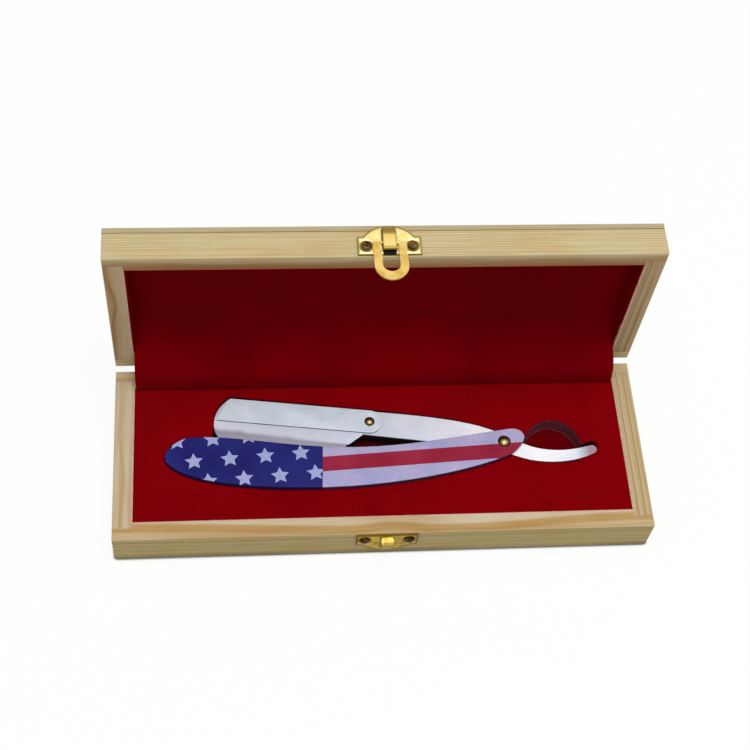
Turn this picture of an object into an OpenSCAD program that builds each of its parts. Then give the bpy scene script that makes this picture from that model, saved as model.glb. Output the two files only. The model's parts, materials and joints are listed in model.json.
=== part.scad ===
// Hinged wooden presentation box with a velvet insert that holds a folding razor.
// Origin: centre of the box's underside. +X right, +Y to the hinges, +Z up.
// The lid stands open at a right angle. Lid pieces are drawn closed, then swung open.

/* [Box] */
// Outside width of the box
box_w = 212.6; // [196:0.2:240]
// Outside depth, front to back
box_d = 75.5; // [70:0.5:90]
// Height of the base, up to its rim
base_h = 17; // [16:0.5:24]
// Height of the lid, from its rim
lid_h = 14.3; // [13.8:0.1:20]
// Thickness of the pine walls
wall_t = 7.8; // [7:0.1:9]
// Thickness of the top and bottom panels
panel_t = 2.5; // [2:0.1:3]
// Radius of the sanded outer edges
edge_r = 0.5; // [0.4:0.1:1.4]
// Part of the front and back walls that laps over the ends of the side walls
lap_t = 4.8; // [4:0.1:5.5]
// Gap between the two rims when the lid is shut
rim_gap = 0.2; // [0.1:0.05:0.4]

/* [Hinges] */
// Distance of the hinge axis behind the back faces
hinge_off = 1.4; // [1.4:0.1:2.4]
// Width of a hinge
hinge_w = 24; // [20:1:30]
// Distance of each hinge from the middle of the box
hinge_x = 65; // [50:1:75]
// Thickness of a hinge leaf
leaf_t = 0.9; // [0.7:0.1:1]
// Length of a leaf from the hinge axis
leaf_l = 9.4; // [8.6:0.1:10]
// Outer radius of the knuckles
knuckle_r = 1.3; // [1.2:0.05:1.35]
// Radius of the hinge pin
hinge_pin_r = 0.65; // [0.55:0.05:0.7]
// Number of knuckles on a hinge
knuckles = 5; // [3:2:7]

/* [Screws] */
// Radius of the hasp and catch screw heads
screw_head_r = 2; // [1.6:0.1:2.2]
// Height of the hasp and catch screw heads
screw_head_h = 0.9; // [0.7:0.05:1.1]
// Radius of the hasp and catch screw shanks
screw_r = 0.9; // [0.7:0.05:1.1]
// Length of the hasp and catch screws under the head
screw_l = 6; // [5:0.5:6.5]
// Radius of the hinge screw heads
hinge_screw_head_r = 1.7; // [1.4:0.1:2]
// Radius of the hinge screw shanks
hinge_screw_r = 0.8; // [0.6:0.05:1]
// Length of the hinge screws under the head
hinge_screw_l = 5.5; // [5:0.5:6]

/* [Hasp and catch] */
// Width of the hasp and catch plates
plate_w = 24; // [23:0.5:27]
// Thickness of the plates and their pressed tongues
plate_t = 0.8; // [0.6:0.05:0.9]
// Height of the square shoulders above the plate's straight edge
plate_shoulder = 8.2; // [7.6:0.1:8.6]
// Height of the whole plate, to the top of its round back
plate_h = 13.2; // [12.4:0.1:13.4]
// Half the width of the round back where it meets the shoulders
dome_half = 9.7; // [9:0.1:10.2]
// Distance of the plate's straight edge from the rim
plate_edge = 0.3; // [0.2:0.05:0.5]
// Distance of the screws from the middle
plate_screw_x = 8.7; // [8.6:0.05:9]
// Distance of the screws from the rim
plate_screw_v = 4.4; // [3.6:0.1:5]
// Width of the bridge that carries the loop
bridge_w = 5.1; // [4.4:0.1:5.2]
// Height of the top of the bridge above the face
bridge_h = 2.65; // [2.6:0.05:3]
// Distance of the bridge's root from the top of the plate
bridge_root = 1.5; // [1.4:0.1:2.4]
// Length of the bridge's round shoulder, from its root to the flat part
bridge_shoulder = 2.1; // [1.6:0.1:2.6]
// Height of the loop's axis above the lid's rim
loop_v = 5.3; // [5:0.1:5.8]
// Distance of the loop's axis from the face
loop_o = 1.35; // [1.3:0.01:1.45]
// Half the outside width of the loop
loop_half = 6.35; // [6:0.05:6.4]
// Width of the loop's legs
loop_leg = 3.1; // [2.8:0.1:3.3]
// Width of the loop's bar
loop_bar = 3.7; // [3.2:0.1:4]
// Distance from the loop's axis to the inside of its bar
loop_reach = 14.4; // [13.9:0.05:14.6]
// Thickness of the loop
loop_t = 0.9; // [0.7:0.05:0.9]
// Radius of the two stubs that the loop turns on
stub_r = 0.55; // [0.45:0.01:0.6]
// How far the loop is raised at rest, in degrees
loop_raise = 6.3; // [6:0.1:12]
// Width of the catch's tongue
tongue_w = 4.2; // [3.6:0.1:4.4]
// Distance of the root of the catch's tongue below the rim
tongue_root = 2; // [1.8:0.1:2.4]
// Distance of the tip of the catch's tongue below the rim
tongue_tip = 8.2; // [7.6:0.1:8.2]
// How far the catch's tongue stands out from the face
tongue_out = 3.4; // [2.8:0.1:3.4]

/* [Velvet] */
// Height of the insert's top below the base's rim
pad_drop = 0.6; // [0.6:0.1:1.6]
// Thickness of the velvet-covered board on the floor of the base
floor_t = 2; // [1.5:0.1:2.5]
// Height of the razor recess's floor above the underside
recess_z = 8.4; // [7.8:0.1:8.6]
// Room round the razor in its recess
recess_gap = 0.5; // [0.5:0.1:1.2]
// Radius of the finger notch
notch_r = 11.4; // [11:0.1:12.5]
// Thickness of the padded panel inside the lid
lid_pad_t = 3; // [2:0.1:3.4]
// Thickness of the velvet strips on the lid's inner faces
strip_t = 0.6; // [0.4:0.05:0.8]
// Thickness of the cloth over the hinges
cloth_t = 0.6; // [0.4:0.05:0.7]
// How far the cloth reaches down behind the insert
cloth_tuck = 8; // [4:0.5:9]

/* [Razor handle] */
// Length of the handle
handle_l = 144.7; // [140:0.1:146]
// Width of the handle at its broad end
handle_w = 20.4; // [19.6:0.1:21.4]
// Thickness of the handle over both cheeks
handle_t = 8.4; // [8:0.1:9]
// Thickness of a cheek
cheek_t = 1.2; // [0.9:0.05:1.3]
// Thickness of the folded back of the handle
spine_t = 1.4; // [1:0.1:1.8]
// Height of the handle's underside above the floor of the recess
handle_lift = 1.2; // [1.2:0.1:1.6]
// Radius of the pivot rivet's shank
rivet_r = 1.5; // [1.2:0.05:1.8]
// Radius of the pivot rivet's heads
rivet_head_r = 2.4; // [2.1:0.1:2.8]
// Height of a rivet head
rivet_head_h = 0.9; // [0.6:0.05:0.9]
// Radius of the washers beside the arm
washer_r = 3.4; // [3:0.1:3.8]

/* [Razor arm] */
// Thickness of the arm
arm_t = 3.6; // [3.2:0.1:3.6]
// Distance from the pivot to the tip of the blade holder
arm_l = 117.4; // [114:0.1:118]
// Width of the tail that the finger lifts
tail_w = 5.6; // [5:0.1:6]
// Distance from the pivot to the tip of the tail
tail_l = 38.3; // [36:0.1:38.5]
// Angle between the arm and the width of the box, in degrees
arm_angle = 6.9; // [6:0.1:8]
// How much the blade holder's jaw thins to its mouth, on each side
jaw_taper = 1; // [0.4:0.1:1.1]

/* [Blade and cover] */
// Distance of the cover's pin from the pivot
pin_x = 54.9; // [52:0.1:56]
// Width of the cover plate
cover_w = 10.3; // [9.6:0.1:10.6]
// Thickness of the cover plate
cover_t = 0.7; // [0.6:0.05:0.7]
// Radius of the cover pin's shank
pin_r = 1.1; // [0.9:0.05:1.3]
// Radius of the cover pin's head
pin_head_r = 1.9; // [1.7:0.1:2.1]
// Length of the half blade
blade_l = 43; // [42:0.5:44]
// Width of the half blade
blade_w = 11; // [10.6:0.1:11.2]
// Thickness of the half blade
blade_t = 0.1; // [0.1:0.05:0.2]

/* [Clearances] */
// Play between the insert and the walls round it
fit_gap = 0.2; // [0.1:0.05:0.3]
// Radial play of a pin in its bore
run_gap = 0.05; // [0.03:0.01:0.08]
// Play between pieces that slide past each other
slide_gap = 0.1; // [0.05:0.01:0.15]

/* [Hidden] */
// Facets of a circle in the preview, and of a small one
$fn = 32;
small_fn = 20;

wood = "burlywood";
velvet = "darkred";
brass = "gold";
steel = "lightsteelblue";
eps = 0.01;

// Box
in_w = box_w - 2 * wall_t;
in_d = box_d - 2 * wall_t;
back_y = box_d / 2;
front_y = -box_d / 2;
lid_z = base_h + rim_gap;
lid_top = lid_z + lid_h;
hinge_y = back_y + hinge_off;
hinge_z = base_h + rim_gap / 2;
lid_angle = 90;

// Velvet
pad_z = panel_t + floor_t;
pad_top = base_h - pad_drop;
lid_pad_z = lid_top - panel_t - lid_pad_t;
cloth_y = back_y - wall_t - fit_gap - cloth_t / 2;
// Face of the lid's panel when the lid is open
panel_face = hinge_y + lid_pad_z - hinge_z;
// Underside of the lid's back wall when the lid is open, where the cloth passes over it
ledge_z = hinge_z + hinge_off + wall_t;
// How far up the lid's panel the cloth begins, from the hinge axis
cloth_rise = 27;
pad_back = cloth_y - cloth_t / 2 - fit_gap;
pad_front = front_y + wall_t + fit_gap;

// Razor, laid out round its pivot
pivot_x = 49.9;
pivot_y = 1.1;
handle_z = recess_z + handle_lift;
handle_mid = handle_z + handle_t / 2;
cheek_in = handle_t / 2 - cheek_t;
// Play of the arm in the recess, in degrees
arm_lower = -0.5;
arm_upper = 2.5;
// Back and mouth of the blade holder, from the line through the pivot
spine_b = 9.9;
mouth_b = -8.4;
cover_b = spine_b - cover_w / 2;
// Where the blade holder begins, from the pivot
holder_x0 = 56;
slit_t = blade_t + 0.2;

// Finger notch beside the tail, from the pivot
notch_x = 20.2;
notch_y = -0.9;
// The notch stops under the tail, this far in front of its middle
notch_front = 4.5;

// A cubic curve from a to d, without its last point
function bezier(a, b, c, d, n = 10) = [
  for (i = [0:n - 1])
    let (t = i / n, s = 1 - t)
      s * s * s * a + 3 * s * s * t * b + 3 * s * t * t * c + t * t * t * d
];

// The unit normal on the left of the way from p to q
function left_of(p, q) = let (d = q - p) [-d[1], d[0]] / norm(d);

// A closed outline moved to its left by d
function moved_in(path, d) = [
  for (i = [0:len(path) - 1])
    let (
      n = len(path),
      before = left_of(path[(i + n - 1) % n], path[i]),
      after = left_of(path[i], path[(i + 1) % n]),
      mid = (before + after) / norm(before + after)
    )
      path[i] + mid * d / max(mid * after, 0.5)
];

// A point of the handle, as shares of its length and width
function hp(x, y) = [x * handle_l, y * handle_w];

// The back of the handle, from the pivot end to the broad end
handle_back = concat(
  bezier(hp(0.008, -0.3), hp(-0.117, -0.647), hp(-0.31, -0.892), hp(-0.497, -0.907)),
  bezier(hp(-0.497, -0.907), hp(-0.656, -0.922), hp(-0.822, -0.794), hp(-0.894, -0.529)),
  bezier(hp(-0.894, -0.529), hp(-0.925, -0.402), hp(-0.941, -0.304), hp(-0.941, -0.157)),
  bezier(hp(-0.941, -0.157), hp(-0.941, -0.02), hp(-0.908, 0.216), hp(-0.87, 0.245))
);
// The open side of the handle, back to the pivot end
handle_mouth = concat(
  bezier(hp(-0.87, 0.245), hp(-0.746, 0.294), hp(-0.58, -0.07), hp(-0.4, -0.044)),
  bezier(hp(-0.4, -0.044), hp(-0.262, -0.049), hp(-0.082, 0.196), hp(0.015, 0.289)),
  bezier(hp(0.015, 0.289), hp(0.039, 0.314), hp(0.057, 0.245), hp(0.059, 0.118)),
  bezier(hp(0.059, 0.118), hp(0.06, 0), hp(0.035, -0.186), hp(0.008, -0.3))
);
// Anticlockwise as a whole, so that its left is inside
handle_path = [for (i = [len(handle_back) + len(handle_mouth) - 1:-1:0])
  concat(handle_back, handle_mouth)[i]];

// The arm: blade holder at -X, tail at +X, anticlockwise
tail_top = -0.7;
arm_path = concat(
  [[-57, -0.9], [-7, -2.2]],
  bezier([-4, -2.6], [2, -3.6], [8, tail_top - tail_w], [15, tail_top - tail_w]),
  bezier([15, tail_top - tail_w], [24, tail_top - tail_w - 0.1],
    [tail_l - 7, -4], [tail_l - 2.4, -1.3]),
  bezier([tail_l - 2.4, -1.3], [tail_l - 0.8, -0.6], [tail_l, 0.2], [tail_l, 1], 5),
  bezier([tail_l, 1], [tail_l, 2.4], [tail_l - 1, 3.4], [tail_l - 2.4, 3], 5),
  bezier([tail_l - 2.4, 3], [tail_l - 8, 1], [26, tail_top], [18, tail_top]),
  bezier([18, tail_top], [10, tail_top], [4, 2.8], [0, 4.4]),
  bezier([0, 4.4], [-10, 8.4], [-22, 10], [-50, spine_b]),
  [[-pin_x, spine_b]],
  bezier([-arm_l + 4.8, spine_b], [-arm_l + 1, 6], [-arm_l, 2], [-arm_l, 0]),
  bezier([-arm_l, 0], [-arm_l, -4], [-arm_l + 1, -6.6], [-arm_l + 3.9, mouth_b]),
  [[-arm_l + 3.9, mouth_b], [-65.5, mouth_b]]
);

// The cover plate, round its pin at one end
cover_path = concat(
  [for (a = [-90:10:90]) [-pin_x, cover_b] + cover_w / 2 * [cos(a), sin(a)]],
  bezier([-arm_l + 5.5, spine_b], [-arm_l + 3.6, 7.5], [-arm_l + 2.2, 3.5],
    [-arm_l + 1.4, spine_b - cover_w]),
  [[-arm_l + 1.4, spine_b - cover_w]]
);

// The cloth over the hinges, seen from the side: [y, z] from the lid to the base
cloth_mouth = base_h - 1.5;
cloth_path = concat(
  bezier([panel_face - fit_gap - cloth_t / 2, hinge_z + cloth_rise],
    [panel_face - 1, hinge_z + cloth_rise - 10],
    [hinge_y + 4, ledge_z + 2.4], [hinge_y - 1.5, ledge_z + 0.7]),
  bezier([hinge_y - 1.5, ledge_z + 0.7],
    [hinge_y - 7, base_h + 9], [cloth_y, base_h + 4.5], [cloth_y, cloth_mouth]),
  [[cloth_y, cloth_mouth], [cloth_y, cloth_mouth - cloth_tuck]]
);

// A rectangle with round corners, centred on the origin
module round_rect(w, h, r) {
  square([w - 2 * r, h], center = true);
  square([w, h - 2 * r], center = true);
  for (x = [-1, 1], y = [-1, 1])
    translate([x * (w / 2 - r), y * (h / 2 - r)])
      circle(r = r);
}

// The outside of one half of the box, with its edges sanded round
module soft_box(z0, z1) {
  mid = (z0 + z1) / 2;
  intersection() {
    translate([0, 0, z0])
      linear_extrude(z1 - z0)
        round_rect(box_w, box_d, edge_r);
    rotate([90, 0, 0])
      linear_extrude(box_d + 2, center = true)
        translate([0, mid])
          round_rect(box_w, z1 - z0, edge_r);
    rotate([90, 0, 90])
      linear_extrude(box_w + 2, center = true)
        translate([0, mid])
          round_rect(box_d, z1 - z0, edge_r);
  }
}

// A long wall between two heights, at the front (side -1) or back (side 1)
module long_wall(side, z0, z1) {
  h = z1 - z0;
  difference() {
    translate([-box_w / 2, side > 0 ? back_y - wall_t : front_y, z0])
      cube([box_w, wall_t, h]);
    for (x = [-1, 1])
      translate([x * (box_w / 2 - wall_t / 2), side * (back_y - lap_t - wall_t / 2), z0 + h / 2])
        cube([wall_t, wall_t, h + 1], center = true);
  }
}

// A side wall between two heights, at the left (side -1) or right (side 1)
module side_wall(side, z0, z1) {
  translate([side * (box_w - wall_t) / 2, 0, (z0 + z1) / 2])
    cube([wall_t, box_d - 2 * lap_t, z1 - z0], center = true);
}

module panel(z0) {
  translate([0, 0, z0 + panel_t / 2])
    cube([box_w, box_d, panel_t], center = true);
}

// A pan-head screw along +Z, with its head's underside at the origin
module screw(head_r, head_h, shank_r, shank_l) {
  difference() {
    union() {
      rotate_extrude($fn = small_fn)
        polygon([[0, 0], [head_r, 0], [head_r, head_h * 0.35], [head_r * 0.8, head_h * 0.8],
          [head_r * 0.45, head_h], [0, head_h]]);
      translate([0, 0, -shank_l])
        cylinder(r = shank_r, h = shank_l + eps, $fn = small_fn);
    }
    for (a = [0, 90])
      rotate(a + 20)
        translate([0, 0, head_h])
          cube([head_r * 1.2, head_r * 0.3, head_h], center = true);
  }
}

// Puts what is drawn on a front face in its place: x, height from the rim, distance out
module on_front(z) {
  translate([0, front_y, z])
    rotate([90, 0, 0])
      children();
}

// The screws of one plate, on the side of the rim that up says
module plate_screw_places(up) {
  for (x = [-1, 1])
    translate([x * plate_screw_x, up * plate_screw_v, plate_t])
      children();
}

module plate_pilots(up) {
  plate_screw_places(up)
    translate([0, 0, -plate_t - screw_l])
      cylinder(r = screw_r + run_gap, h = screw_l + plate_t + 1, $fn = small_fn);
}

// Places for the screws of every hinge leaf: on the base (up -1) or the lid (up 1)
module hinge_screw_places(up) {
  for (x = [-1, 1], dx = [-1, 1])
    translate([x * hinge_x + dx * hinge_w * 0.3, back_y + leaf_t, hinge_z + up * leaf_l * 0.65])
      rotate([-90, 0, 0])
        children();
}

module hinge_pilots(up) {
  hinge_screw_places(up)
    translate([0, 0, -leaf_t - hinge_screw_l])
      cylinder(r = hinge_screw_r + run_gap, h = hinge_screw_l + leaf_t + 1, $fn = small_fn);
}

// Swings what is drawn on the closed lid to where it stands open
module open_lid() {
  translate([0, hinge_y, hinge_z])
    rotate([-lid_angle, 0, 0])
      translate([0, -hinge_y, -hinge_z])
        children();
}

module base_front_wall() {
  color(wood)
    difference() {
      intersection() {
        long_wall(-1, panel_t, base_h);
        soft_box(0, base_h);
      }
      on_front(base_h)
        plate_pilots(-1);
    }
}

module base_back_wall() {
  color(wood)
    difference() {
      intersection() {
        long_wall(1, panel_t, base_h);
        soft_box(0, base_h);
      }
      hinge_pilots(-1);
    }
}

module base_left_wall() {
  color(wood)
    intersection() {
      side_wall(-1, panel_t, base_h);
      soft_box(0, base_h);
    }
}

module base_right_wall() {
  color(wood)
    intersection() {
      side_wall(1, panel_t, base_h);
      soft_box(0, base_h);
    }
}

module base_bottom_panel() {
  color(wood)
    intersection() {
      panel(0);
      soft_box(0, base_h);
    }
}

module base_floor_board() {
  color(velvet)
    translate([-in_w / 2 + fit_gap, pad_front, panel_t])
      cube([in_w - 2 * fit_gap, pad_back - pad_front, floor_t]);
}

// The razor's outline in plan with room round it, over the arm's whole swing
module recess_2d() {
  polygon(moved_in(handle_path, -recess_gap));
  for (a = [arm_lower, arm_upper])
    rotate(a - arm_angle)
      polygon(moved_in(arm_path, -recess_gap));
  for (reach = [-arm_l - recess_gap + 0.3, tail_l])
    polygon(concat([[0, 0]], [for (k = [0:4])
      let (a = arm_lower + (arm_upper - arm_lower) * k / 4 - arm_angle)
        reach * [cos(a), sin(a)]]));
  rotate(-arm_angle)
    polygon([[-pin_x - 8, 2], [-pin_x - 8, mouth_b], [-pin_x + 30, mouth_b], [-8, -2], [-8, 2]]);
}

module base_pad() {
  color(velvet)
    difference() {
      translate([-in_w / 2 + fit_gap, pad_front, pad_z])
        cube([in_w - 2 * fit_gap, pad_back - pad_front, pad_top - pad_z]);
      translate([pivot_x, pivot_y, recess_z])
        linear_extrude(pad_top)
          recess_2d();
      translate([pivot_x + notch_x, pivot_y + notch_y, recess_z])
        intersection() {
          cylinder(r = notch_r, h = pad_top);
          translate([-notch_r, -notch_front, 0])
            cube([2 * notch_r, notch_front + notch_r, pad_top]);
        }
    }
}

// The plate of the hasp and of the catch: square shoulders and a round back
module plate_2d() {
  rise = plate_h - plate_shoulder;
  r = (dome_half * dome_half + rise * rise) / (2 * rise);
  translate([-plate_w / 2, 0])
    square([plate_w, plate_shoulder]);
  intersection() {
    translate([0, plate_h - r])
      circle(r = r, $fn = 64);
    translate([-plate_w / 2, 1])
      square([plate_w, plate_h]);
  }
}

// The tongue is cut from the plate, bent out at its root and down again to its tip
module catch_plate() {
  skin = plate_t * 0.9;
  bend = 1.3;
  window = tongue_tip - tongue_root + 0.5 * tongue_out;
  color(brass)
    on_front(base_h) {
      difference() {
        translate([0, -plate_edge, 0])
          mirror([0, 1, 0])
            linear_extrude(plate_t)
              plate_2d();
        plate_pilots(-1);
        translate([-tongue_w / 2 - slide_gap, -tongue_root - plate_t - window, -1])
          cube([tongue_w + 2 * slide_gap, window, plate_t + 2]);
      }
      intersection() {
        rotate([90, 0, 90])
          linear_extrude(tongue_w, center = true)
            polygon(concat(
              bezier([-tongue_root, plate_t], [-tongue_root - 0.3, plate_t],
                [-tongue_root - 0.1, tongue_out], [-tongue_root - bend, tongue_out], 7),
              [[-tongue_root - bend, tongue_out], [-tongue_tip + 0.5, tongue_out],
                [-tongue_tip, tongue_out - 0.3], [-tongue_tip, tongue_out - skin],
                [-tongue_root - bend - 0.2, tongue_out - skin]],
              bezier([-tongue_root - bend - 0.2, tongue_out - skin],
                [-tongue_root - 0.9, tongue_out - skin - 0.1],
                [-tongue_root - 1.1, plate_t], [-tongue_root - plate_t - 0.2, 0], 5),
              [[-tongue_root - plate_t - 0.2, 0], [-tongue_root, 0]]
            ));
        linear_extrude(tongue_out + 1)
          translate([0, -tongue_tip / 2])
            round_rect(tongue_w, tongue_tip, 1, $fn = small_fn);
      }
    }
}

module catch_screws() {
  color(brass)
    on_front(base_h)
      plate_screw_places(-1)
        screw(screw_head_r, screw_head_h, screw_r, screw_l);
}

// One hinge leaf on a back face, with knuckles of its own at first, first + 2 and so on
module hinge_leaf(up, first) {
  step = hinge_w / knuckles;
  clear = knuckle_r + 2 * slide_gap;
  difference() {
    union() {
      translate([-hinge_w / 2, back_y, hinge_z + (up > 0 ? clear : -leaf_l)])
        cube([hinge_w, leaf_t, leaf_l - clear]);
      for (k = [first:2:knuckles - 1])
        translate([-hinge_w / 2 + k * step + slide_gap, 0, 0]) {
          translate([0, back_y, hinge_z + (up > 0 ? 0 : -clear - eps)])
            cube([step - 2 * slide_gap, leaf_t, clear + eps]);
          translate([0, hinge_y, hinge_z])
            rotate([0, 90, 0])
              cylinder(r = knuckle_r, h = step - 2 * slide_gap, $fn = small_fn);
        }
    }
    translate([-hinge_w, hinge_y, hinge_z])
      rotate([0, 90, 0])
        cylinder(r = hinge_pin_r + run_gap, h = 2 * hinge_w, $fn = small_fn);
  }
}

module hinge_leaves(up, first) {
  difference() {
    for (x = [-1, 1])
      translate([x * hinge_x, 0, 0])
        hinge_leaf(up, first);
    hinge_pilots(up);
  }
}

module hinge_base_leaves() {
  color(brass)
    hinge_leaves(-1, 0);
}

module hinge_pins() {
  color(steel)
    for (x = [-1, 1])
      translate([x * hinge_x, hinge_y, hinge_z])
        rotate([0, 90, 0])
          cylinder(r = hinge_pin_r, h = hinge_w + 0.4, center = true, $fn = small_fn);
}

module hinge_base_screws() {
  color(brass)
    hinge_screw_places(-1)
      screw(hinge_screw_head_r, screw_head_h * 0.8, hinge_screw_r, hinge_screw_l);
}

// A strip of cloth that follows its path, as thick as the cloth all along
module hinge_cloth() {
  n = len(cloth_path);
  sides = [for (i = [0:n - 1]) left_of(cloth_path[max(i - 1, 0)], cloth_path[min(i + 1, n - 1)])];
  color(velvet)
    rotate([90, 0, 90])
      linear_extrude(in_w - 2 * (fit_gap + strip_t + slide_gap), center = true)
        polygon(concat(
          [for (i = [0:n - 1]) cloth_path[i] + sides[i] * cloth_t / 2],
          [for (i = [n - 1:-1:0]) cloth_path[i] - sides[i] * cloth_t / 2]
        ));
}

module lid_front_wall() {
  color(wood)
    open_lid()
      difference() {
        intersection() {
          long_wall(-1, lid_z, lid_top - panel_t);
          soft_box(lid_z, lid_top);
        }
        on_front(lid_z)
          plate_pilots(1);
      }
}

module lid_back_wall() {
  color(wood)
    open_lid()
      difference() {
        intersection() {
          long_wall(1, lid_z, lid_top - panel_t);
          soft_box(lid_z, lid_top);
        }
        hinge_pilots(1);
      }
}

module lid_left_wall() {
  color(wood)
    open_lid()
      intersection() {
        side_wall(-1, lid_z, lid_top - panel_t);
        soft_box(lid_z, lid_top);
      }
}

module lid_right_wall() {
  color(wood)
    open_lid()
      intersection() {
        side_wall(1, lid_z, lid_top - panel_t);
        soft_box(lid_z, lid_top);
      }
}

module lid_top_panel() {
  color(wood)
    open_lid()
      intersection() {
        panel(lid_top - panel_t);
        soft_box(lid_z, lid_top);
      }
}

module lid_pad() {
  color(velvet)
    open_lid()
      translate([-in_w / 2 + fit_gap, -in_d / 2 + fit_gap, lid_pad_z])
        cube([in_w - 2 * fit_gap, in_d - 2 * fit_gap, lid_pad_t]);
}

// Velvet on the inner faces of the lid's side and front walls
module lid_side_strips() {
  z0 = lid_z + 0.4;
  h = lid_pad_z - fit_gap - z0;
  color(velvet)
    open_lid() {
      for (x = [-1, 1])
        translate([x * (in_w - strip_t) / 2, 0, z0 + h / 2])
          cube([strip_t, in_d - 2 * fit_gap, h], center = true);
      translate([0, -(in_d - strip_t) / 2, z0 + h / 2])
        cube([in_w - 2 * strip_t - 2 * fit_gap, strip_t, h], center = true);
    }
}

// The loop's eye, and the strip that bulges out of the plate over it
module hasp_plate() {
  root = plate_edge + plate_h - bridge_root;
  flat = root - bridge_shoulder;
  strip = plate_t * 0.85;
  foot = 1.9;
  color(brass)
    open_lid()
      on_front(lid_z) {
        difference() {
          translate([0, plate_edge, 0])
            linear_extrude(plate_t)
              plate_2d();
          plate_pilots(1);
          translate([-bridge_w / 2 - slide_gap, 0, -1])
            cube([bridge_w + 2 * slide_gap, root, plate_t + 2]);
        }
        difference() {
          union() {
            rotate([90, 0, 90])
              linear_extrude(bridge_w, center = true)
                polygon(concat(
                  [[root + plate_t, 0]],
                  bezier([root + plate_t, plate_t], [root + 0.3, plate_t + 0.3],
                    [flat + 1.2, bridge_h], [flat, bridge_h], 7),
                  [[flat, bridge_h], [foot + plate_t, bridge_h], [foot + 0.2, bridge_h - 0.3],
                    [foot, bridge_h - 0.8], [foot + 0.1, bridge_h - 1.1],
                    [foot + 0.5, bridge_h - 0.8], [foot + 0.9, bridge_h - strip]],
                  bezier([flat - 0.2, bridge_h - strip], [flat + 0.8, bridge_h - strip],
                    [root - 0.4, plate_t + 0.3], [root - 0.2, 0], 7),
                  [[root - 0.2, 0]]
                ));
            translate([0, loop_v, loop_o])
              rotate([0, 90, 0])
                cylinder(r = bridge_h - loop_o, h = bridge_w, center = true, $fn = small_fn);
          }
          translate([0, loop_v, loop_o])
            rotate([0, 90, 0])
              cylinder(r = stub_r + run_gap, h = bridge_w + 1, center = true, $fn = small_fn);
        }
      }
}

module hasp_screws() {
  color(brass)
    open_lid()
      on_front(lid_z)
        plate_screw_places(1)
          screw(screw_head_r, screw_head_h, screw_r, screw_l);
}

module hinge_lid_leaves() {
  color(brass)
    open_lid()
      hinge_leaves(1, 1);
}

module hinge_lid_screws() {
  color(brass)
    open_lid()
      hinge_screw_places(1)
        screw(hinge_screw_head_r, screw_head_h * 0.8, hinge_screw_r, hinge_screw_l);
}

// The loop in plan, hanging from its axis at the origin
module loop_2d() {
  inner = loop_half - loop_leg;
  difference() {
    union() {
      translate([-loop_half, -loop_reach - loop_bar + loop_half])
        square([2 * loop_half, loop_reach + loop_bar - loop_half]);
      translate([0, -loop_reach - loop_bar + loop_half])
        circle(r = loop_half);
    }
    translate([-inner, -loop_reach + inner])
      square([2 * inner, loop_reach + 1]);
    translate([0, -loop_reach + inner])
      circle(r = inner);
  }
}

module hasp_loop() {
  inner = loop_half - loop_leg;
  color(brass)
    open_lid()
      on_front(lid_z)
        translate([0, loop_v, loop_o])
          rotate([-loop_raise, 0, 0]) {
            linear_extrude(loop_t, center = true)
              loop_2d();
            for (x = [-1, 1]) {
              translate([x * (inner + loop_leg / 2), 0, 0])
                rotate([0, 90, 0])
                  cylinder(r = loop_t / 2, h = loop_leg, center = true, $fn = small_fn);
              translate([x * (inner / 2 + 0.3), 0, 0])
                rotate([0, 90, 0])
                  cylinder(r = stub_r, h = inner - 0.2, center = true, $fn = small_fn);
            }
          }
}

// Puts what is drawn round the pivot, at the handle's mid height, in its place
module at_pivot() {
  translate([pivot_x, pivot_y, handle_mid])
    children();
}

module at_arm() {
  at_pivot()
    rotate(-arm_angle)
      children();
}

// Two cheeks and the fold that joins them along the back and round the broad end
module razor_handle() {
  n = len(handle_back);
  inner = [for (i = [n - 1:-1:0])
    handle_back[i]
      - spine_t * left_of(handle_back[max(i - 1, 0)], handle_back[min(i + 1, n - 1)])];
  color("lavender")
    at_pivot()
      difference() {
        union() {
          for (z = [-handle_t / 2, cheek_in])
            translate([0, 0, z])
              linear_extrude(cheek_t)
                polygon(handle_path);
          linear_extrude(handle_t - cheek_t, center = true)
            polygon(concat(handle_back, inner));
        }
        cylinder(r = rivet_r + run_gap, h = handle_t + 2, center = true);
      }
}

// A low round head on the side that up says
module rivet_head(up, r, h) {
  ball = (r * r + h * h) / (2 * h);
  mirror([0, 0, up > 0 ? 0 : 1])
    rotate_extrude()
      intersection() {
        translate([0, h - ball])
          circle(r = ball, $fn = 48);
        square([r, h]);
      }
}

module pivot_rivet() {
  color(brass)
    at_pivot() {
      cylinder(r = rivet_r, h = handle_t + 2 * eps, center = true);
      for (up = [-1, 1])
        translate([0, 0, up * handle_t / 2])
          rivet_head(up, rivet_head_r, rivet_head_h);
    }
}

module pivot_washers() {
  gap = cheek_in - arm_t / 2;
  color(brass)
    at_pivot()
      for (up = [-1, 1])
        translate([0, 0, up * (arm_t / 2 + gap / 2)])
          difference() {
            cylinder(r = washer_r, h = gap - 2 * slide_gap, center = true);
            cylinder(r = rivet_r + run_gap, h = gap + 1, center = true);
          }
}

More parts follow.
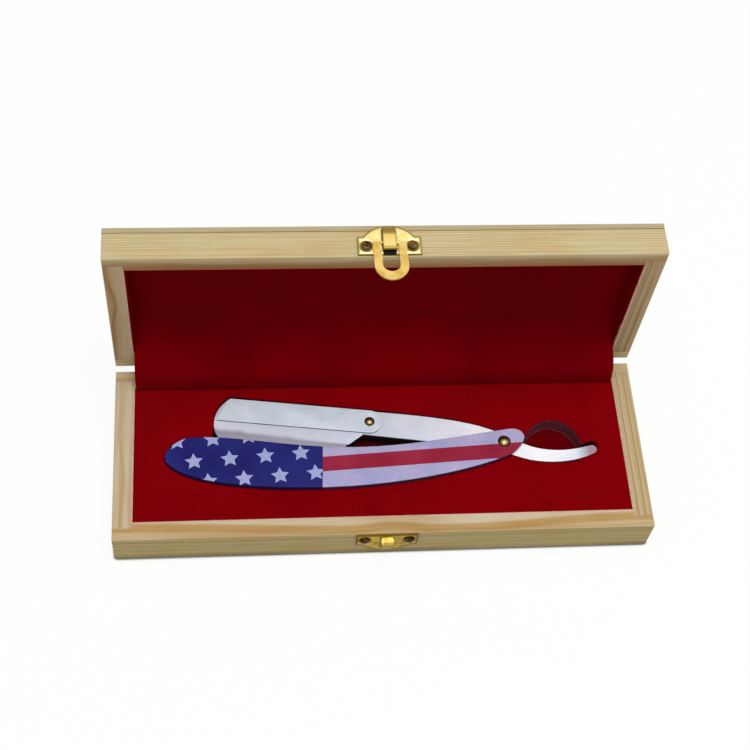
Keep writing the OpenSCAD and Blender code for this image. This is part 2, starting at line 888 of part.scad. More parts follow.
// Tang, tail and blade holder in one, with a slit for the blade in the holder's mouth
module razor_arm() {
  color(steel)
    at_arm()
      difference() {
        linear_extrude(arm_t, center = true)
          polygon(arm_path);
        cylinder(r = rivet_r + 2 * run_gap, h = arm_t + 1, center = true);
        translate([-pin_x, cover_b, 0])
          cylinder(r = pin_r + run_gap, h = arm_t + 1, center = true);
        for (up = [-1, 1])
          translate([-arm_l - 1, 0, 0])
            rotate([90, 0, 90])
              linear_extrude(arm_l - holder_x0)
                polygon([
                  [spine_b - cover_w - 0.2, up * arm_t / 2],
                  [mouth_b - 1, up * (arm_t / 2 + 1)],
                  [mouth_b - 1, up * (arm_t / 2 - jaw_taper)]
                ]);
        translate([-arm_l - 1, mouth_b - 1, -slit_t / 2])
          cube([arm_l - holder_x0 - 6, blade_w + 1, slit_t]);
      }
}

// Half of a double-edged blade, with its corner steps and half holes
module half_blade() {
  mid = -(arm_l + holder_x0 + 8) / 2;
  color("silver")
    at_arm()
      translate([mid, mouth_b - 1, 0])
        difference() {
          translate([-blade_l / 2, 0, -blade_t / 2])
            cube([blade_l, blade_w, blade_t]);
          for (x = [-1, 1])
            translate([x * blade_l / 2, blade_w, 0])
              cube([7, 7, 1], center = true);
          for (x = [-9, 0, 9])
            translate([x, blade_w, 0])
              cylinder(r = 1.6, h = 1, center = true);
        }
}

module cover_pin() {
  color(brass)
    at_arm()
      translate([-pin_x, cover_b, 0]) {
        translate([0, 0, -arm_t / 2 - eps])
          cylinder(r = pin_r, h = arm_t + 2 * slide_gap + cover_t + 2 * eps);
        translate([0, 0, arm_t / 2 + 2 * slide_gap + cover_t])
          rivet_head(1, pin_head_r, 0.8);
        translate([0, 0, -arm_t / 2])
          rivet_head(-1, pin_head_r, 0.6);
      }
}

module cover_plate() {
  color(steel)
    at_arm()
      difference() {
        translate([0, 0, arm_t / 2 + slide_gap])
          linear_extrude(cover_t)
            polygon(cover_path);
        translate([-pin_x, cover_b, 0])
          cylinder(r = pin_r + run_gap, h = arm_t * 2, center = true);
      }
}

base_front_wall();
base_back_wall();
base_left_wall();
base_right_wall();
base_bottom_panel();
base_floor_board();
base_pad();
catch_plate();
catch_screws();
hinge_base_leaves();
hinge_pins();
hinge_base_screws();
hinge_cloth();
lid_front_wall();
lid_back_wall();
lid_left_wall();
lid_right_wall();
lid_top_panel();
lid_pad();
lid_side_strips();
hasp_plate();
hasp_screws();
hinge_lid_leaves();
hinge_lid_screws();
hasp_loop();
razor_handle();
pivot_rivet();
pivot_washers();
razor_arm();
half_blade();
cover_pin();
cover_plate();
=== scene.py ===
"""A hinged pine box with a velvet insert that holds a folding razor.

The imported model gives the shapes. This script adds their materials, eased edges and soft goods,
with the light, the floor and the camera.
"""

import json
import math

import bmesh
import bpy
from mathutils import Matrix, Vector, noise


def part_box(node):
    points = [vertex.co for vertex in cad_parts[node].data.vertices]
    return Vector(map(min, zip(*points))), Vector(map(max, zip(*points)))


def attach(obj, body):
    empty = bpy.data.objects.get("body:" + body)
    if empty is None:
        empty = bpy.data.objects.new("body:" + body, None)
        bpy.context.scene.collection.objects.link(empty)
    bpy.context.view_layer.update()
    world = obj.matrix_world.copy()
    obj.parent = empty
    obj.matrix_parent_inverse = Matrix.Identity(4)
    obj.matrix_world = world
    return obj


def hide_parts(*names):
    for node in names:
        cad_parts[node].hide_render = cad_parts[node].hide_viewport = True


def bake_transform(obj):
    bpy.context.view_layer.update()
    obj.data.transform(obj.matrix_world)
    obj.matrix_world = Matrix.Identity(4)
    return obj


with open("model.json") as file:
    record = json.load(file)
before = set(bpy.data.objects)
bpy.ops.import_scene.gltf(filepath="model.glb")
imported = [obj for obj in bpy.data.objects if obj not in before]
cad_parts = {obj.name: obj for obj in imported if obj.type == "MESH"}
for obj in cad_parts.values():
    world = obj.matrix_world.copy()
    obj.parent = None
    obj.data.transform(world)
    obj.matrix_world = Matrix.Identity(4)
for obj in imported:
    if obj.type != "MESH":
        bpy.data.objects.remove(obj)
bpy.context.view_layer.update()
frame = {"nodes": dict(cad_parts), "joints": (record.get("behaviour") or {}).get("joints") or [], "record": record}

MM = 0.001
# Planes nearer to each other than this are the same
TOUCH = 0.05 * MM
# Turn of the razor's arm from the box's length, clockwise from above
ARM_DEGREES = 6.9


# Nodes and colours


def hex_colour(code):
    """An sRGB hex value as the linear colour that a socket takes."""
    parts = [int(code[i : i + 2], 16) / 255 for i in (1, 3, 5)]
    linear = [c / 12.92 if c <= 0.04045 else ((c + 0.055) / 1.055) ** 2.4 for c in parts]
    return (*linear, 1.0)


def feed(tree, node, inputs):
    """Gives inputs of a node their values and links."""
    for name, value in inputs.items():
        if isinstance(value, bpy.types.NodeSocket):
            tree.links.new(value, node.inputs[name])
        else:
            node.inputs[name].default_value = value


def add(tree, kind, inputs=None, **settings):
    """Adds a node with its settings, its values and its links."""
    made = tree.nodes.new(kind)
    for name, value in settings.items():
        setattr(made, name, value)
    feed(tree, made, inputs or {})
    return made


def empty_tree(owner):
    owner.use_nodes = True
    owner.node_tree.nodes.clear()
    return owner.node_tree


def new_material(name):
    """A material, its tree, its Principled shader and its Object coordinates."""
    material = bpy.data.materials.new(name)
    tree = empty_tree(material)
    shader = add(tree, "ShaderNodeBsdfPrincipled")
    add(tree, "ShaderNodeOutputMaterial", {"Surface": shader.outputs["BSDF"]})
    place = add(tree, "ShaderNodeTexCoord").outputs["Object"]
    return material, tree, shader, place


def maths(tree, operation, a, b=0.0, c=0.0):
    """The result of a Math node. Only MULTIPLY_ADD, a times b plus c, takes all three."""
    return add(tree, "ShaderNodeMath", {0: a, 1: b, 2: c}, operation=operation).outputs[0]


def vectors(tree, operation, a, b=(0, 0, 0)):
    made = add(tree, "ShaderNodeVectorMath", {0: a, 1: b}, operation=operation)
    return made.outputs["Value" if operation == "LENGTH" else 0]


def distance(tree, a, b):
    """How far the point (a, b) lies from (0, 0)."""
    return maths(tree, "SQRT", maths(tree, "MULTIPLY_ADD", a, a, maths(tree, "MULTIPLY", b, b)))


def between(tree, value, low, high):
    """1 where the value lies from low to high, and 0 elsewhere."""
    above = maths(tree, "GREATER_THAN", value, low)
    return maths(tree, "MULTIPLY", above, maths(tree, "LESS_THAN", value, high))


def specks(tree, place, scale, detail, **more):
    """Noise from 0 to 1, with specks about 1 / scale across."""
    inputs = {"Vector": place, "Scale": scale, "Detail": detail, **more}
    return add(tree, "ShaderNodeTexNoise", inputs).outputs[0]


def stretched(tree, place, scale, turn=(0, 0, 0)):
    inputs = {"Vector": place, "Scale": scale, "Rotation": turn}
    return add(tree, "ShaderNodeMapping", inputs).outputs[0]


def mapped(tree, value, before, after, smooth=False):
    """The value with the range before turned into the range after, and held at its ends."""
    inputs = {"Value": value, 1: before[0], 2: before[1], 3: after[0], 4: after[1]}
    kind = "SMOOTHSTEP" if smooth else "LINEAR"
    return add(tree, "ShaderNodeMapRange", inputs, interpolation_type=kind).outputs[0]


def in_mm(tree, place):
    """The node whose X, Y and Z outputs are the place in mm."""
    inputs = {0: place, "Scale": 1000.0}
    scaled = add(tree, "ShaderNodeVectorMath", inputs, operation="SCALE").outputs[0]
    return add(tree, "ShaderNodeSeparateXYZ", {"Vector": scaled})


def ramp(tree, factor, stops, smooth=False):
    """A colour ramp from (position, hex) stops."""
    made = add(tree, "ShaderNodeValToRGB", {"Fac": factor})
    band = made.color_ramp
    band.interpolation = "EASE" if smooth else "LINEAR"
    while len(band.elements) < len(stops):
        band.elements.new(1.0)
    for element, (position, code) in zip(band.elements, stops):
        element.position = position
        element.color = hex_colour(code)
    return made.outputs["Color"]


def blended(tree, factor, a, b, mode="MIX"):
    inputs = {"Factor": factor, 6: a, 7: b}
    return add(tree, "ShaderNodeMix", inputs, data_type="RGBA", blend_type=mode).outputs[2]


def bumped(tree, shader, height, depth, strength):
    inputs = {"Height": height, "Distance": depth, "Strength": strength}
    feed(tree, shader, {"Normal": add(tree, "ShaderNodeBump", inputs).outputs["Normal"]})


# Materials


def drawn_line(tree, colour, spot, grain, line):
    """One dark or warm line in the wood, by the axis it crosses, its place and half width in mm,
    its strength and colour, and how far it wanders along the board. It may also give the share of
    its width that has full strength, bulges as (middle, half length, rise) in mm, and the height
    that it stays above."""
    axis, place, half, strength, code, wander, *shape = line
    core, bulges, bottom = shape or (0.1, (), 0.0)
    along = spot.outputs[grain]
    away = maths(tree, "SUBTRACT", spot.outputs[axis], place)
    if wander:
        # It wanders once in 38 mm
        inputs = {"W": maths(tree, "DIVIDE", along, 38.0), "Scale": 1.0, "Detail": 1.0}
        wave = add(tree, "ShaderNodeTexNoise", inputs, noise_dimensions="1D").outputs[0]
        away = maths(tree, "MULTIPLY_ADD", maths(tree, "SUBTRACT", wave, 0.5), 2 * wander, away)
    for centre, half_length, rise in bulges:
        off = maths(tree, "ABSOLUTE", maths(tree, "SUBTRACT", along, centre))
        lift = mapped(tree, off, (0.0, half_length), (rise, 0.0), smooth=True)
        away = maths(tree, "SUBTRACT", away, lift)
    away = maths(tree, "DIVIDE", maths(tree, "ABSOLUTE", away), half)
    share = mapped(tree, away, (core, 1.0), (strength, 0.0), smooth=True)
    if bottom:
        over = maths(tree, "GREATER_THAN", spot.outputs["Z"], bottom)
        share = maths(tree, "MULTIPLY", share, over)
    return blended(tree, share, colour, hex_colour(code), "MULTIPLY")


def pine(name, grain, pith, spacing, sway, phase, early, late, warmth, lines=(), shade_patch=None):
    """Planed pine, unvarnished: yearly rings as cones round the pith, pale wide earlywood and
    narrow tan latewood, with fine fibres along the grain. The ring spacing and pith are in mm."""
    material, tree, shader, place = new_material("pine_" + name)
    turn = {"X": (0, 0, 0), "Y": (0, 0, -math.pi / 2), "Z": (0, math.pi / 2, 0)}[grain]
    board = stretched(tree, place, (1000, 1000, 1000), turn)
    # One slow swing of the rings in 80 mm along the board, and a finer one in 25 mm
    swing = specks(tree, stretched(tree, board, (1 / 80, 1 / 40, 1 / 40)), 1.0, 1.0)
    shake = specks(tree, stretched(tree, board, (1 / 25, 1 / 9, 1 / 9)), 1.0, 2.0)
    from_pith = vectors(tree, "SUBTRACT", board, (0.0, *pith))
    # The rings come 12 mm nearer to the pith in a metre
    radius = vectors(tree, "LENGTH", vectors(tree, "MULTIPLY", from_pith, (0.012, 1, 1)))
    swung = maths(tree, "MULTIPLY_ADD", swing, sway * 6, radius)
    shaken = maths(tree, "MULTIPLY_ADD", shake, sway * 1.2, swung)
    ring = maths(tree, "FRACT", maths(tree, "MULTIPLY_ADD", shaken, 1 / spacing, phase))
    wood = ramp(tree, ring, [(0.0, late), (0.1, early), (0.45, early), (0.9, late), (1.0, late)])
    # Where the latewood is weak the ring is nearly as pale as the rest
    patch = specks(tree, stretched(tree, board, (1 / 60, 1 / 5, 1 / 5)), 1.0, 1.0)
    faint = mapped(tree, patch, (0.35, 0.65), (0.1, 0.75))
    colour = blended(tree, faint, wood, hex_colour(early))
    # Fibres 0.25 mm across and 16 mm long
    fibre = specks(tree, stretched(tree, board, (1 / 16, 4, 4)), 1.0, 2.0)
    streak = ramp(tree, fibre, [(0.3, "#E6E0D4"), (0.7, "#FFFFFF")])
    colour = blended(tree, 0.75, colour, streak, "MULTIPLY")
    # Resin-warm patches some 40 mm long
    resin = specks(tree, stretched(tree, board, (1 / 50, 1 / 12, 1 / 12)), 1.3, 2.0)
    warm = mapped(tree, resin, (0.5, 0.72), (0.0, warmth))
    colour = blended(tree, warm, colour, hex_colour("#F3C88E"), "MULTIPLY")
    spot = in_mm(tree, place) if lines or shade_patch else None
    for line in lines:
        colour = drawn_line(tree, colour, spot, grain, line)
    if shade_patch:
        # Painted shade under the fitting: a patch of the wood painted near black
        half, axis, low, high = shade_patch
        inside = maths(tree, "LESS_THAN", maths(tree, "ABSOLUTE", spot.outputs["X"]), half)
        inside = maths(tree, "MULTIPLY", inside, between(tree, spot.outputs[axis], low, high))
        colour = blended(tree, inside, colour, hex_colour("#1E140A"))
    rough = mapped(tree, fibre, (0.0, 1.0), (0.6, 0.78))
    feed(tree, shader, {"Base Color": colour, "Roughness": rough, "Specular IOR Level": 0.2})
    height = maths(tree, "MULTIPLY_ADD", ring, 0.5, fibre)
    bumped(tree, shader, height, 0.04 * MM, 0.5)
    return material


def broken_edge():
    """The saw-cut arris of a pine board, broken with abrasive: bare pale fibre, a little pink along
    the velvet."""
    material, tree, shader, place = new_material("pine_broken_arris")
    fuzz = specks(tree, place, 700.0, 2.0)
    colour = ramp(tree, fuzz, [(0.3, "#DFA494"), (0.7, "#F6CFC2")])
    feed(tree, shader, {"Base Color": colour, "Roughness": 0.8})
    bumped(tree, shader, fuzz, 0.1 * MM, 0.4)
    return material


def velvet(name, colour, shade):
    """Crimson cotton velvet: an upright pile that drinks the light, with faint cloudy patches
    where it was brushed."""
    material, tree, shader, place = new_material(name)
    # Tufts 0.35 mm across, drawn at 0.6 mm so that they show
    tufts = specks(tree, place, 1600.0, 3.0, Roughness=0.6)
    # Brushed patches some 30 mm across
    brushed = specks(tree, place, 34.0, 2.0, Distortion=0.4)
    base = ramp(tree, brushed, [(0.3, shade), (0.7, colour)], smooth=True)
    grain = ramp(tree, tufts, [(0.3, "#C4B8B8"), (0.62, "#FFFFFF")])
    pile = {
        "Base Color": blended(tree, 0.5, base, grain, "MULTIPLY"),
        "Roughness": 1.0,
        "Specular IOR Level": 0.02,
        "Sheen Weight": 0.12,
        "Sheen Roughness": 0.5,
        "Sheen Tint": hex_colour("#C8000F"),
    }
    feed(tree, shader, pile)
    bumped(tree, shader, tufts, 0.2 * MM, 0.4)
    return material


def cut_foam():
    """Raw cut edge of the dark foam board under the velvet: open cells that show as specks."""
    material, tree, shader, place = new_material("cut_foam_board")
    cells = add(tree, "ShaderNodeTexVoronoi", {"Vector": place, "Scale": 1300.0}).outputs[0]
    lint = specks(tree, place, 900.0, 3.0)
    mixed = maths(tree, "MULTIPLY", cells, lint)
    colour = ramp(tree, mixed, [(0.08, "#500A1E"), (0.3, "#741A32"), (0.5, "#96344A")])
    feed(tree, shader, {"Base Color": colour, "Roughness": 0.95})
    bumped(tree, shader, cells, 0.4 * MM, 0.7)
    return material


def recess_shade_foam():
    """Sides and floor of the razor's recess: black-red with fine specks, as painted shade."""
    material, tree, shader, place = new_material("recess_foam_painted_shade")
    cells = specks(tree, place, 1500.0, 3.0)
    colour = ramp(tree, cells, [(0.3, "#38040C"), (0.7, "#580812")])
    feed(tree, shader, {"Base Color": colour, "Roughness": 0.95, "Specular IOR Level": 0.1})
    bumped(tree, shader, cells, 0.2 * MM, 0.5)
    return material


def rolled_sheet(tree, place, colour, deep):
    """The ripple and the fine handling marks of pressed sheet, and the tone its ripple gives."""
    ripple = specks(tree, place, 260.0, 2.0)
    marks = specks(tree, place, 1800.0, 4.0)
    return ripple, marks, ramp(tree, ripple, [(0.3, deep), (0.65, colour)], smooth=True)


def stamped_brass(name, colour, deep, rough):
    """Stamped brass sheet under thin lacquer: bright yellow, rolled smooth, with fine handling
    marks and a slight ripple from the press."""
    material, tree, shader, place = new_material(name)
    ripple, marks, tone = rolled_sheet(tree, place, colour, deep)
    roughness = mapped(tree, marks, (0.0, 1.0), (rough * 0.75, rough * 1.25))
    feed(tree, shader, {"Base Color": tone, "Metallic": 1.0, "Roughness": roughness})
    both = maths(tree, "MULTIPLY_ADD", marks, 0.15, ripple)
    bumped(tree, shader, both, 0.2 * MM, 0.5)
    return material


# The ground arm, in mm along X and Z: the span of its polish and painted shade, where the blade
# holder ends, and the height under which its sides begin
POLISH_SHADE_FROM, POLISH_SHADE_TO = -70.0, 90.0
HOLDER_END = -14.0
ARM_SIDE_TOP = 15.0


def holder_in_shade(tree, colour, spot, cloud):
    """Painted shade: the blade holder is darker next to the handle, and the sides of the whole arm
    are painted dark, grey on the holder and near black on the tang.
    """
    # The handle's edge runs down 0.168 mm for each mm to the right
    above_handle = maths(tree, "MULTIPLY_ADD", spot.outputs["X"], 0.168, spot.outputs["Y"])
    above_handle = maths(tree, "ADD", above_handle, maths(tree, "MULTIPLY", cloud, 2.4))
    handle_shade = mapped(tree, above_handle, (0.1, 2.6), (0.85, 0.0), smooth=True)
    holder = maths(tree, "LESS_THAN", spot.outputs["X"], HOLDER_END)
    handle_shade = maths(tree, "MULTIPLY", handle_shade, holder)
    colour = blended(tree, handle_shade, colour, hex_colour("#7C7C88"))
    side = maths(tree, "LESS_THAN", spot.outputs["Z"], ARM_SIDE_TOP)
    shaded = blended(tree, holder, hex_colour("#2C2024"), hex_colour("#8E8C9A"))
    return blended(tree, side, colour, shaded)


def satin_steel(name, light, dark, rough, along, metallic=1.0, polish_and_shade=()):
    """Stainless steel, finished with fine abrasive along the piece: short hair lines that spread
    the reflection into an even grey. For the arm alone, the polish stops, as (place along X in
    mm, colour), give where it was buffed more or less, and painted shade and reflection towards
    the tail's tip; the arm also gets painted shade by the handle and on its sides."""
    material, tree, shader, place = new_material(name)
    hair = stretched(tree, place, (90, 4000, 4000), (0, 0, math.radians(along)))
    lines = specks(tree, hair, 1.0, 3.0)
    cloud = specks(tree, place, 90.0, 2.0)
    tone = ramp(tree, cloud, [(0.3, dark), (0.7, light)], smooth=True)
    grain = ramp(tree, lines, [(0.3, "#EAEAEE"), (0.7, "#FFFFFF")])
    colour = blended(tree, 0.6, tone, grain, "MULTIPLY")
    if polish_and_shade:
        spot = in_mm(tree, place)
        share = mapped(tree, spot.outputs["X"], (POLISH_SHADE_FROM, POLISH_SHADE_TO), (0.0, 1.0))
        span = POLISH_SHADE_TO - POLISH_SHADE_FROM
        polish_and_shade_tone = ramp(tree, share, [((x - POLISH_SHADE_FROM) / span, code) for x, code in polish_and_shade])
        colour = blended(tree, 1.0, colour, polish_and_shade_tone, "MULTIPLY")
        colour = holder_in_shade(tree, colour, spot, cloud)
    roughness = mapped(tree, lines, (0.0, 1.0), (rough * 0.9, rough * 1.1))
    feed(tree, shader, {"Base Color": colour, "Metallic": metallic, "Roughness": roughness})
    bumped(tree, shader, lines, 0.02 * MM, 0.3)
    return material


# Printed film on the handle, in mm, seen from above
STAR_RADIUS = 3.75
STAR_STEP = Vector((14.1, 0.93))
STAR_RISE = Vector((1.78, 18.82))
STAR_PLACES = [Vector((-60.7, -4.0)), Vector((-55.1, -12.9))]
STAR_TURN = math.radians(4)
STAR_SECTOR = math.radians(72)
# How fast a star's edge draws in from its tip
STAR_SLANT = 2.1
# The blue field's right edge, and how far it leans for each mm up
FIELD_EDGE, FIELD_LEAN = -23.6, 0.05
# The red stripe's lower and upper edge at X 0, and how far they rise for each mm to the right
STRIPE_LOW, STRIPE_HIGH, STRIPE_RISE = -9.22, -2.67, 0.058
# Height under which the handle's sides are painted dark as shade
SIDE_SHADE_Z = 17.5


def star_mask(tree, across, along, origin):
    """1 inside the five-pointed stars of one lattice, 0 outside."""
    det = STAR_STEP.x * STAR_RISE.y - STAR_STEP.y * STAR_RISE.x
    dx = maths(tree, "SUBTRACT", across, origin.x)
    dy = maths(tree, "SUBTRACT", along, origin.y)

    def combine(a, ka, b, kb):
        return maths(tree, "MULTIPLY_ADD", b, kb, maths(tree, "MULTIPLY", a, ka))

    a = combine(dx, STAR_RISE.y / det, dy, -STAR_RISE.x / det)
    b = combine(dx, -STAR_STEP.y / det, dy, STAR_STEP.x / det)
    a = maths(tree, "SUBTRACT", a, maths(tree, "ROUND", a))
    b = maths(tree, "SUBTRACT", b, maths(tree, "ROUND", b))
    x = combine(a, STAR_STEP.x, b, STAR_RISE.x)
    y = combine(a, STAR_STEP.y, b, STAR_RISE.y)
    u = combine(x, math.cos(STAR_TURN), y, math.sin(STAR_TURN))
    v = combine(x, -math.sin(STAR_TURN), y, math.cos(STAR_TURN))
    # Folded into one sector with the tip in its middle; 5.5 sectors keep the angle above zero
    angle = maths(tree, "ADD", maths(tree, "ARCTAN2", u, v), STAR_SECTOR * 5.5)
    folded = maths(tree, "MODULO", angle, STAR_SECTOR)
    from_tip = maths(tree, "ABSOLUTE", maths(tree, "SUBTRACT", folded, STAR_SECTOR / 2))
    cos_part = maths(tree, "COSINE", from_tip)
    sin_part = maths(tree, "SINE", from_tip)
    slant = combine(sin_part, STAR_SLANT, cos_part, 1.0)
    edge = maths(tree, "MULTIPLY", distance(tree, v, u), slant)
    return maths(tree, "LESS_THAN", edge, STAR_RADIUS)


def printed_handle():
    """Printed film on painted sheet steel, with the common stars and stripes: matt, faintly
    grained by the film. Below the bend the sides are painted dark as shade, navy by the blue
    field and dark purple-grey elsewhere."""
    material, tree, shader, place = new_material("printed_film_on_steel")
    parts = in_mm(tree, place)
    x, y = parts.outputs["X"], parts.outputs["Y"]
    first, second = (star_mask(tree, x, y, origin) for origin in STAR_PLACES)
    stars = maths(tree, "MAXIMUM", first, second)
    lean = maths(tree, "MULTIPLY_ADD", y, FIELD_LEAN, FIELD_EDGE)
    in_field = maths(tree, "LESS_THAN", x, lean)
    level = maths(tree, "MULTIPLY_ADD", x, -STRIPE_RISE, y)
    stripe = between(tree, level, STRIPE_LOW, STRIPE_HIGH)
    film = specks(tree, place, 500.0, 4.0)
    cloud = specks(tree, place, 60.0, 2.0)
    blue = ramp(tree, cloud, [(0.3, "#060964"), (0.7, "#20227A")])
    white = ramp(tree, cloud, [(0.3, "#A9ABDC"), (0.7, "#C9BCE0")])
    # The stripe over the red one is a shade darker
    over = maths(tree, "GREATER_THAN", level, STRIPE_HIGH)
    darker = blended(tree, 1.0, white, hex_colour("#FBFBFB"), "MULTIPLY")
    white = blended(tree, over, white, darker)
    red = ramp(tree, cloud, [(0.3, "#960D31"), (0.7, "#A72747")])
    stripes = blended(tree, stripe, white, red)
    field = blended(tree, stars, blue, hex_colour("#ABB2E3"))
    colour = blended(tree, in_field, stripes, field)
    grain = ramp(tree, film, [(0.35, "#ECECEC"), (0.65, "#FFFFFF")])
    colour = blended(tree, 0.6, colour, grain, "MULTIPLY")
    # Painted shade on the sides below the bend
    handle_side_shade = blended(tree, in_field, hex_colour("#3C2C50"), hex_colour("#1A1644"))
    on_top = maths(tree, "GREATER_THAN", parts.outputs["Z"], SIDE_SHADE_Z)
    colour = blended(tree, on_top, handle_side_shade, colour)
    rough = mapped(tree, film, (0.0, 1.0), (0.5, 0.62))
    feed(tree, shader, {"Base Color": colour, "Roughness": rough, "Specular IOR Level": 0.2})
    bumped(tree, shader, film, 0.03 * MM, 0.3)
    return material


def shaded_rivet(name, centre, radius):
    """Domed brass rivet: painted light on top of its dome as a highlight, and rings darkening to its
    foot as painted shade.
    """
    material, tree, shader, place = new_material(name)
    out = vectors(tree, "SUBTRACT", place, (centre.x, centre.y, 0.0))
    far = vectors(tree, "LENGTH", vectors(tree, "MULTIPLY", out, (1, 1, 0)))
    spots = specks(tree, place, 1600.0, 3.0)
    share = maths(tree, "MULTIPLY_ADD", spots, 0.25, maths(tree, "DIVIDE", far, radius))
    rings = [(0.35, "#AD9B70"), (0.65, "#8A784A"), (0.85, "#54421E"), (1.0, "#2A2012")]
    rough = mapped(tree, spots, (0.0, 1.0), (0.25, 0.45))
    tone = ramp(tree, share, rings)
    feed(tree, shader, {"Base Color": tone, "Metallic": 1.0, "Roughness": rough})
    bumped(tree, shader, spots, 0.04 * MM, 0.4)
    return material


# Modelling


def select_only(piece):
    bpy.ops.object.select_all(action="DESELECT")
    piece.select_set(True)
    bpy.context.view_layer.objects.active = piece


def start_edit(piece, chosen="DESELECT"):
    """Opens the piece in edit mode, with nothing or everything selected."""
    select_only(piece)
    bpy.ops.object.mode_set(mode="EDIT")
    bpy.ops.mesh.select_all(action=chosen)


def end_edit():
    bpy.ops.object.mode_set(mode="OBJECT")


def bevel_edges(piece, test, width, segments, finish=-1):
    """Bevels the edges between two faces for which test says so, in the finish of that slot."""
    bpy.ops.mesh.select_mode(type="EDGE")
    bpy.ops.mesh.select_all(action="DESELECT")
    shape = bmesh.from_edit_mesh(piece.data)
    picked = [edge for edge in shape.edges if len(edge.link_faces) == 2 and test(edge)]
    for edge in picked:
        edge.select_set(True)
    bmesh.update_edit_mesh(piece.data)
    if picked:
        bpy.ops.mesh.bevel(
            offset=width, segments=segments, profile=0.5, clamp_overlap=True, material=finish
        )


def apply_new(piece, kind, **settings):
    """Adds one modifier to the piece and applies it."""
    made = piece.modifiers.new(kind.lower(), kind)
    for name, value in settings.items():
        setattr(made, name, value)
    select_only(piece)
    bpy.ops.object.modifier_apply(modifier=made.name)


def is_sharp(edge, degrees=35):
    return edge.calc_face_angle(0) > math.radians(degrees)


def middle(edge):
    return (edge.verts[0].co + edge.verts[1].co) / 2


def on_flat(edge, low, high):
    """Whether both ends of an edge lie at the top or at the bottom of its piece."""
    return all(v.co.z > high.z - TOUCH or v.co.z < low.z + TOUCH for v in edge.verts)


def pivot_place():
    """The middle of the razor's pivot, seen from above."""
    low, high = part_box("pivot_rivet")
    return ((low + high) / 2).xy


def copy_of(node, name, finishes):
    """A new piece with the shape of a CAD node, its triangles merged into whole faces."""
    piece = bpy.data.objects.new(name, frame["nodes"][node].data.copy())
    piece.data.materials.clear()
    for finish in finishes:
        piece.data.materials.append(finish)
    bpy.context.scene.collection.objects.link(piece)
    start_edit(piece, "SELECT")
    bpy.ops.mesh.customdata_custom_splitnormals_clear()
    bpy.ops.mesh.remove_doubles(threshold=0.002 * MM)
    bpy.ops.mesh.dissolve_limited(angle_limit=math.radians(0.4))
    end_edit()
    return piece


def body_of_node(node):
    for body, nodes in frame["record"]["behaviour"]["bodies"].items():
        if node in nodes:
            return body
    raise ValueError(node)


def finish_piece(piece, node, smooth=35):
    """Shades the piece so that its flat faces stay flat, and puts it in its node's place."""
    apply_new(piece, "TRIANGULATE", min_vertices=5)
    bpy.ops.object.shade_smooth_by_angle(angle=math.radians(smooth))
    apply_new(piece, "WEIGHTED_NORMAL", keep_sharp=True, weight=100)
    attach(piece, body_of_node(node))
    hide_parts(node)
    return piece


def eased(node, name, material, width, segments=2, highlight_finish=None):
    """A CAD node's shape with its sharp edges eased by a small round, in a second finish if one
    is given; on the cover plate that finish is a painted highlight."""
    piece = copy_of(node, name, [material, highlight_finish] if highlight_finish else [material])
    start_edit(piece)
    bevel_edges(piece, is_sharp, width, segments, 1 if highlight_finish else -1)
    end_edit()
    return finish_piece(piece, node)


# Wood


def board_piece(node, material, arris):
    """A board with eased edges. The edge that meets the velvet is broken wider and paler."""
    piece = copy_of(node, "board_" + node, [material, arris])
    low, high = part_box(node)
    # The planes of a wall's rim and of its inner side, as (axis, place)
    lid = node.startswith("lid")
    rim = (1, low.y) if lid else (2, high.z)
    if "front" in node:
        side = (2, low.z) if lid else (1, high.y)
    else:
        side = (0, high.x if low.x + high.x < 0 else low.x)

    def meets_velvet(edge):
        spot = middle(edge)
        return is_sharp(edge) and all(abs(spot[axis] - at) < TOUCH for axis, at in (rim, side))

    start_edit(piece)
    if any(word in node for word in ("left", "right", "front")):
        bevel_edges(piece, meets_velvet, width=0.45 * MM, segments=1, finish=1)
    bevel_edges(piece, lambda e: is_sharp(e, 50), width=0.18 * MM, segments=2)
    end_edit()
    finish_piece(piece, node)


